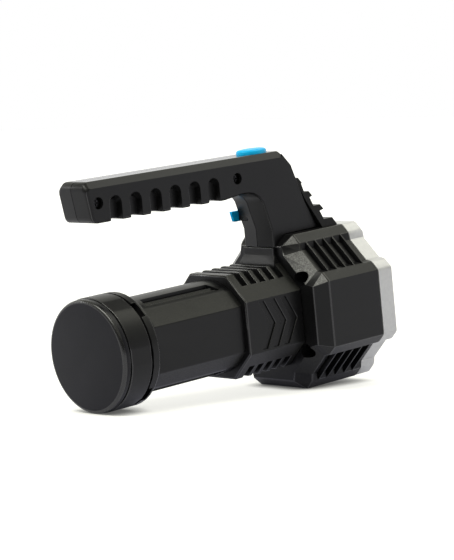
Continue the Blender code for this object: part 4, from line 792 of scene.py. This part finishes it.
def makeBezel():
    look = {"edge": 0.9 * mm, "mouth": 30 * mm, "mouthRound": 0.5 * mm, "outer": 31 * mm, "rearBand": 1 * mm}
    piece = mergedCopy("bezel", "silverBezel")
    low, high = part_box("bezel")
    edges = roundEdges(
        look["edge"], 3, 3.0 * mm, 20, outside(look["outer"], rear=low.x + look["rearBand"]),
    )
    mouth = pick("edges", lambda edge: all(
        abs(vert.co.x - high.x) < 0.02 * mm and abs(fromAxis(vert.co) - look["mouth"]) < 0.2 * mm
        for vert in edge.verts
    ))
    if mouth:
        bevelPicked(look["mouthRound"], 3)
    finishPiece(piece, silverCoat, "housing", ["bezel"], 32)
    print("bezel: edges", edges, mouth)


def makeWindow():
    look = {"edge": 0.25 * mm}
    low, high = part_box("lens")
    radius = (high.y - low.y) / 2
    piece = turnedPiece("lensWindow", [(low.x, radius), (high.x, radius)], 128)
    bevelRims([(x, radius, look["edge"], 2) for x in (low.x, high.x)])
    finishPiece(piece, clearWindow, "housing", ["lens"])


def makeReflector():
    look = {"throat": 5.5 * mm, "mouth": 24.6 * mm, "steps": 28, "wall": 1.0 * mm}
    low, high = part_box("reflector")
    flange = (high.y - low.y) / 2
    stations = []
    for step in range(look["steps"] + 1):
        radius = look["throat"] + (look["mouth"] - look["throat"]) * step / look["steps"]
        depth = (radius ** 2 - look["throat"] ** 2) / (look["mouth"] ** 2 - look["throat"] ** 2)
        stations.append((low.x + (high.x - low.x) * depth, radius))
    stations.append((high.x, flange))
    piece = turnedPiece("reflectorBowl", stations, 128, filled=False)
    bpy.ops.mesh.flip_normals()  # the bright side is the inside, the wall grows outwards
    wall = piece.modifiers.new("wall", "SOLIDIFY")
    wall.thickness, wall.offset = look["wall"], -1
    applyAll(piece)
    finishPiece(piece, mirrorCoat, "housing", ["reflector"], 40)


def makeLedBoard():
    look = {"edge": 0.2 * mm, "dot": 1.1 * mm, "dotAt": 8.2 * mm, "dotFlat": 0.3}
    low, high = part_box("led_board")
    radius = (high.y - low.y) / 2
    board = turnedPiece("ledBoard", [(low.x, radius), (high.x, radius)], 96)
    bevelRims([(x, radius, look["edge"], 2) for x in (high.x, low.x)])
    for side in (-1, 1):  # solder dots for the two leads
        dotY = side * look["dotAt"]
        near = look["dot"] + 0.1 * mm
        bpy.ops.mesh.primitive_uv_sphere_add(
            segments=24, ring_count=12, radius=look["dot"], location=(high.x, dotY, 0), rotation=alongBeam,
        )
        pick("verts", lambda vert: (
            abs(vert.co.y - dotY) < near and abs(vert.co.z) < near and abs(vert.co.x - high.x) < near
        ))
        bpy.ops.transform.resize(value=(look["dotFlat"], 1, 1), center_override=(high.x, 0, 0))

    def onDot(face):
        spot = face.calc_center_median()
        return math.hypot(abs(spot.y) - look["dotAt"], spot.z) < look["dot"]

    assignWhere(board, whiteMask, lambda face: True)
    assignWhere(board, nickelPlate, onDot)
    finishPiece(board, whiteMask, "housing", ["led_board"], 40)


def makeLedEmitter():
    look = {"dome": 2.5 * mm, "domeStep": 9, "baseEdge": 0.25 * mm}
    low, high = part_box("led_emitter")
    base = (high.y - low.y) / 2
    top = high.x - look["dome"]
    dome = []
    for degrees in range(0, 86, look["domeStep"]):
        angle = math.radians(degrees)
        dome.append((top + look["dome"] * math.sin(angle), look["dome"] * math.cos(angle)))
    lamp = turnedPiece("ledEmitter", [(low.x, base), (top, base), *dome], 64)
    bevelRims([(top, base, look["baseEdge"], 2)])
    assignWhere(lamp, whiteMask, lambda face: True)
    assignWhere(lamp, phosphorResin, lambda face: face.calc_center_median().x > top + 0.001 * mm)
    finishPiece(lamp, phosphorResin, "housing", ["led_emitter"], 50)


makeBezel()
makeWindow()
flatGasket("lensGasket", "lens_gasket", "housing", 25.0 * mm)
makeReflector()
makeLedBoard()
makeLedEmitter()
print("front done")


# Screws

def makeScrew(name, node, across=False):
    # turned along the beam from its head, then set along it or across it
    look = {
        "head": 2.4 * mm, "headTall": 2.0 * mm, "headRound": 0.5 * mm, "shank": 1.4 * mm, "tip": 0.35,
        "crossWide": 0.8 * mm, "crossLong": 2.8 * mm, "crossDeep": 0.9 * mm,
    }
    low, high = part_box(node)
    length = (high.y - low.y) if across else (high.x - low.x)
    piece = turnedPiece(name, [
        (0, look["head"]), (look["headTall"], look["head"]), (look["headTall"], look["shank"]),
        (length - look["shank"], look["shank"]), (length, look["shank"] * look["tip"]),
    ], 48)
    bevelRims([(0, look["head"], look["headRound"], 3)])
    for wide, tall in ((look["crossWide"], look["crossLong"]), (look["crossLong"], look["crossWide"])):
        deselectAll()
        bpy.ops.mesh.primitive_cube_add(
            size=1, location=(0, 0, 0), scale=(2 * look["crossDeep"], wide, tall),
        )
        cutWith(piece, placed("crossCutter"))
    centre = (low + high) / 2
    if across:
        piece.rotation_euler = (0, 0, math.pi / 2)
        piece.location = (centre.x, low.y, centre.z)
    else:
        piece.location = (low.x, centre.y, centre.z)
    finishPiece(piece, phosphatedSteel, "housing", [node], 35)


for number in ("1", "2", "3", "4"):
    makeScrew("bezelScrew" + number, "bezel_screw_" + number)
makeScrew("handleScrewRear", "handle_screw_rear", across=True)
makeScrew("handleScrewFront", "handle_screw_front", across=True)
print("screws done")


# Button and port cover

def makeButton():
    look = {
        "halfLong": 8.0 * mm, "halfWide": 6.0 * mm, "stem": 2.0 * mm, "crown": 1.2 * mm,
        "flange": 0.9 * mm, "flangeUp": 1.4 * mm, "flangeTall": 1.2 * mm,
        # inward in mm, and the share of the crown's height
        "dome": [(0.0, 0.0), (0.25, 0.42), (0.8, 0.7), (1.8, 0.88), (3.2, 0.97), (4.8, 1.0)],
    }
    low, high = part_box("top_button")
    centre = (low + high) / 2
    rim = high.z - look["crown"]
    flangeLow = low.z + look["flangeUp"]
    flangeHigh = flangeLow + look["flangeTall"]
    deselectAll()
    bpy.ops.mesh.primitive_circle_add(
        vertices=96, radius=1, fill_type="NGON", location=(centre.x, 0, flangeLow),
    )
    piece = named("topButton")
    piece.scale = (look["halfLong"] + look["flange"], look["halfWide"] + look["flange"], 1)
    bpy.ops.object.transform_apply(location=True, rotation=True, scale=True)
    editAll("FACE")

    def draw(fromGrow, toGrow, rise):
        bpy.ops.mesh.extrude_region_move(TRANSFORM_OT_translate={"value": (0, 0, rise)})
        if toGrow != fromGrow:
            sizeX = (look["halfLong"] + toGrow) / (look["halfLong"] + fromGrow)
            sizeY = (look["halfWide"] + toGrow) / (look["halfWide"] + fromGrow)
            bpy.ops.transform.resize(value=(sizeX, sizeY, 1), center_override=(centre.x, 0, 0))

    draw(look["flange"], look["flange"], flangeHigh - flangeLow)
    draw(look["flange"], 0.0, 0.0)
    draw(0.0, 0.0, rim - flangeHigh)
    for (inward, up), (nextInward, nextUp) in zip(look["dome"], look["dome"][1:]):
        draw(-inward * mm, -nextInward * mm, (nextUp - up) * look["crown"])
    bpy.ops.mesh.poke()
    bpy.ops.mesh.select_all(action="SELECT")
    bpy.ops.mesh.normals_make_consistent(inside=False)
    deselectAll()
    bpy.ops.mesh.primitive_cylinder_add(
        vertices=32, radius=look["stem"], depth=flangeLow - low.z,
        location=(centre.x, 0, (flangeLow + low.z) / 2),
    )
    named("buttonStem")
    piece.select_set(True)
    bpy.context.view_layer.objects.active = piece
    bpy.ops.object.join()
    finishPiece(piece, blueAbs, "top_button", ["top_button"], 35)


def makePortCover():
    look = {"edge": 0.8 * mm, "outsideFrom": 10.4 * mm, "rearBand": 0.5 * mm}
    piece = mergedCopy("port_cover", "portCover")
    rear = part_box("port_cover")[0].x
    roundEdges(look["edge"], 4, 1.2 * mm, 35, lambda edge: (
        middleOf(edge).y > look["outsideFrom"] or middleOf(edge).x < rear + look["rearBand"]
    ))
    finishPiece(piece, blueRubber, "port_cover", ["port_cover"], 35)


makeButton()
makePortCover()
print("controls done")


# Inner pieces that keep their CAD shape take their own finish, except the charge port, whose black is painted
# shade, and the cell gets its bare steel ends

innerFinish = {
    "heat_sink": turnedMetal,
    "battery_holder": greyPolypropylene,
    "front_contact": stampedBrass,
    "driver_board": greenLaminate,
    "switch_board": greenLaminate,
    "top_switch": nitrileRubber,
    "switch_plunger": greyPolypropylene,
    # the charge port's black is painted shade: the socket lies in the shadow of the port's opening
    "charge_port": blackAbs,
}
for node, material in innerFinish.items():
    nodes[node].data.materials.clear()
    nodes[node].data.materials.append(material)


def makeCell():
    look = {"terminal": 4 * mm}
    piece = mergedCopy("battery_cell", "batteryCell")
    assignWhere(piece, shrinkSleeve, lambda face: True)
    assignWhere(piece, nickelPlate, lambda face: (
        abs(face.normal.x) > 0.9 or fromAxis(face.calc_center_median()) < look["terminal"]
    ))
    finishPiece(piece, shrinkSleeve, "housing", ["battery_cell"], 40)


makeCell()
print("inner pieces done")


# Floor, light and camera

def makeFloor():
    # the table runs through the tail ring's and the head's lowest edges, so it leans in this frame
    look = {
        "rise": -0.0943, "atX": 4.6 * mm, "atZ": -26.15 * mm, "size": 12.0, "paper": "#bebebb",
        "near": 0.78, "nearMirrored": 0.58, "far": 1.05, "fade": (0.3, 1.6),  # the glow, and metres out
        "seen": "#fffffa", "mirrored": "#ededff",
        "contact": 7 * mm, "contactFill": 0.12, "open": (0.1, 0.95),
    }
    deselectAll()
    bpy.ops.mesh.primitive_plane_add(
        size=look["size"], location=(look["atX"], 0, look["atZ"]), rotation=(0, math.atan(-look["rise"]), 0),
    )
    floor = named("studioFloor")
    material, tree, shader, place = newMaterial("whitePaperSweep", {
        "Roughness": 0.9, "Specular IOR Level": 0.0, "Base Color": hexColor(look["paper"]),
    })
    rays = addNode(tree, "ShaderNodeLightPath")
    direct = rays.outputs["Is Camera Ray"]
    # the glow is there for the camera, and in what metal and glass show
    mirrored = addNode(
        tree, "ShaderNodeMath", {"operation": "MAXIMUM"}, {0: direct, 1: rays.outputs["Is Glossy Ray"]},
    )
    shown = addNode(
        tree, "ShaderNodeMath", {"operation": "MAXIMUM"},
        {0: mirrored.outputs[0], 1: rays.outputs["Is Transmission Ray"]},
    )
    away = addNode(tree, "ShaderNodeVectorMath", {"operation": "LENGTH"}, {0: place})
    near = addNode(
        tree, "ShaderNodeMix", {"data_type": "FLOAT", 2: look["nearMirrored"], 3: look["near"]}, {0: direct},
    )
    fill = addNode(
        tree, "ShaderNodeMapRange",
        {"From Min": look["fade"][0], "From Max": look["fade"][1], "To Max": look["far"]},
        {"Value": away.outputs["Value"], "To Min": near.outputs[0]},
    )
    # less fill close under the torch, where it touches the paper
    openness = addNode(tree, "ShaderNodeAmbientOcclusion", {"samples": 12, "Distance": look["contact"]})
    gap = addNode(
        tree, "ShaderNodeMapRange",
        {"From Min": look["open"][0], "From Max": look["open"][1], "To Min": look["contactFill"]},
        {"Value": openness.outputs["AO"]},
    )
    part = addNode(
        tree, "ShaderNodeMath", {"operation": "MULTIPLY"}, {0: shown.outputs[0], 1: gap.outputs["Result"]},
    )
    glow = addNode(
        tree, "ShaderNodeMath", {"operation": "MULTIPLY"}, {0: part.outputs[0], 1: fill.outputs["Result"]},
    )
    tint = addNode(
        tree, "ShaderNodeMix",
        {"data_type": "RGBA", 6: hexColor(look["mirrored"]), 7: hexColor(look["seen"])}, {0: direct},
    )
    tree.links.new(tint.outputs[2], shader.inputs["Emission Color"])
    tree.links.new(glow.outputs[0], shader.inputs["Emission Strength"])
    floor.data.materials.append(material)


def addSoftbox(name, look):
    light = bpy.data.lights.new(name, "AREA")
    light.shape = "RECTANGLE"
    light.size, light.size_y = look["size"]
    light.energy = look["power"]
    light.color = hexColor(look["color"])[:3]
    lamp = bpy.data.objects.new(name, light)
    bpy.context.scene.collection.objects.link(lamp)
    lamp.location = look["place"]
    lamp.rotation_euler = (Vector(look["aim"]) - Vector(look["place"])).to_track_quat("-Z", "Y").to_euler()


def makeRoom():
    # white below and overhead, with a darker band round the horizon that is darkest in front of the lamp
    look = {
        "top": "#fffff0", "low": "#ffffff", "warm": (0.1, 0.6),
        "bandRise": (0.04, 0.12), "bandFall": (0.35, 0.62),  # the sine of the height
        "back": 1.25, "front": 0.06, "backSide": (0.6, 0.8, 0.0), "turn": 0.8,
        "overhead": 0.55,
    }
    world = bpy.data.worlds.new("studioRoom")
    bpy.context.scene.world = world
    world.use_nodes = True
    tree = world.node_tree
    room = tree.nodes["Background"]
    where = addNode(tree, "ShaderNodeTexCoord")
    split = addNode(tree, "ShaderNodeSeparateXYZ", {}, {"Vector": where.outputs["Generated"]})
    height = split.outputs["Z"]
    rise = addNode(tree, "ShaderNodeMapRange", {
        "interpolation_type": "SMOOTHSTEP", "From Min": look["bandRise"][0], "From Max": look["bandRise"][1],
    }, {"Value": height})
    fall = addNode(tree, "ShaderNodeMapRange", {
        "interpolation_type": "SMOOTHSTEP", "From Min": look["bandFall"][0], "From Max": look["bandFall"][1],
        "To Min": 1.0, "To Max": 0.0,
    }, {"Value": height})
    band = addNode(
        tree, "ShaderNodeMath", {"operation": "MULTIPLY"},
        {0: rise.outputs["Result"], 1: fall.outputs["Result"]},
    )
    behind = addNode(
        tree, "ShaderNodeVectorMath", {"operation": "DOT_PRODUCT", 1: look["backSide"]},
        {0: where.outputs["Generated"]},
    )
    dim = addNode(tree, "ShaderNodeMapRange", {
        "interpolation_type": "SMOOTHSTEP", "From Min": -look["turn"], "From Max": look["turn"],
        "To Min": look["front"], "To Max": look["back"],
    }, {"Value": behind.outputs["Value"]})
    above = addNode(tree, "ShaderNodeMapRange", {
        "From Min": look["bandRise"][0], "From Max": look["bandRise"][1],
        "To Min": 1.0, "To Max": look["overhead"],
    }, {"Value": height})
    level = addNode(
        tree, "ShaderNodeMix", {"data_type": "FLOAT"},
        {0: band.outputs[0], 2: above.outputs["Result"], 3: dim.outputs["Result"]},
    )
    warm = addNode(
        tree, "ShaderNodeMapRange", {"From Min": look["warm"][0], "From Max": look["warm"][1]},
        {"Value": height},
    )
    tint = addNode(tree, "ShaderNodeValToRGB", {}, {"Fac": warm.outputs["Result"]})
    tintColor = colorStops(tint, [(0.0, hexColor(look["low"])), (1.0, hexColor(look["top"]))])
    tree.links.new(tintColor, room.inputs["Color"])
    tree.links.new(level.outputs[0], room.inputs["Strength"])


def makeCamera():
    # the photograph's view, solved from the object's own edges
    look = {
        "place": (-0.69091, -0.85139, 0.18482), "lens": 160.9, "sensor": 36.0, "clip": (0.05, 40.0),
        "across": (0.72482, -0.68218, -0.09629), "down": (-0.16685, -0.03821, -0.98524),
        "onward": (0.66843, 0.73019, -0.14152),
    }
    data = bpy.data.cameras.new("camera")
    camera = bpy.data.objects.new("camera", data)
    bpy.context.scene.collection.objects.link(camera)
    data.lens, data.sensor_width = look["lens"], look["sensor"]
    data.clip_start, data.clip_end = look["clip"]
    across, down, onward = (Vector(look[key]) for key in ("across", "down", "onward"))
    turn = Matrix((across, -down, -onward)).transposed().to_4x4()
    camera.matrix_world = Matrix.Translation(look["place"]) @ turn
    bpy.context.scene.camera = camera


makeFloor()
torchMiddle = (0.08, 0.0, 0.02)
addSoftbox("keySoftbox", {
    "place": (-0.36, -0.02, 0.84), "aim": torchMiddle, "size": (0.7, 0.22), "power": 5.0, "color": "#fffff6",
})
addSoftbox("topSoftbox", {
    "place": (0.75, -0.15, 0.9), "aim": torchMiddle, "size": (0.7, 0.55), "power": 2.4, "color": "#fffff0",
})
addSoftbox("rimSoftbox", {
    "place": (-0.42, 0.73, 0.48), "aim": torchMiddle, "size": (0.2, 0.2), "power": 1.0, "color": "#ffffff",
})
makeRoom()
makeCamera()
bpy.context.scene.view_settings.view_transform = "Standard"
print("studio done")
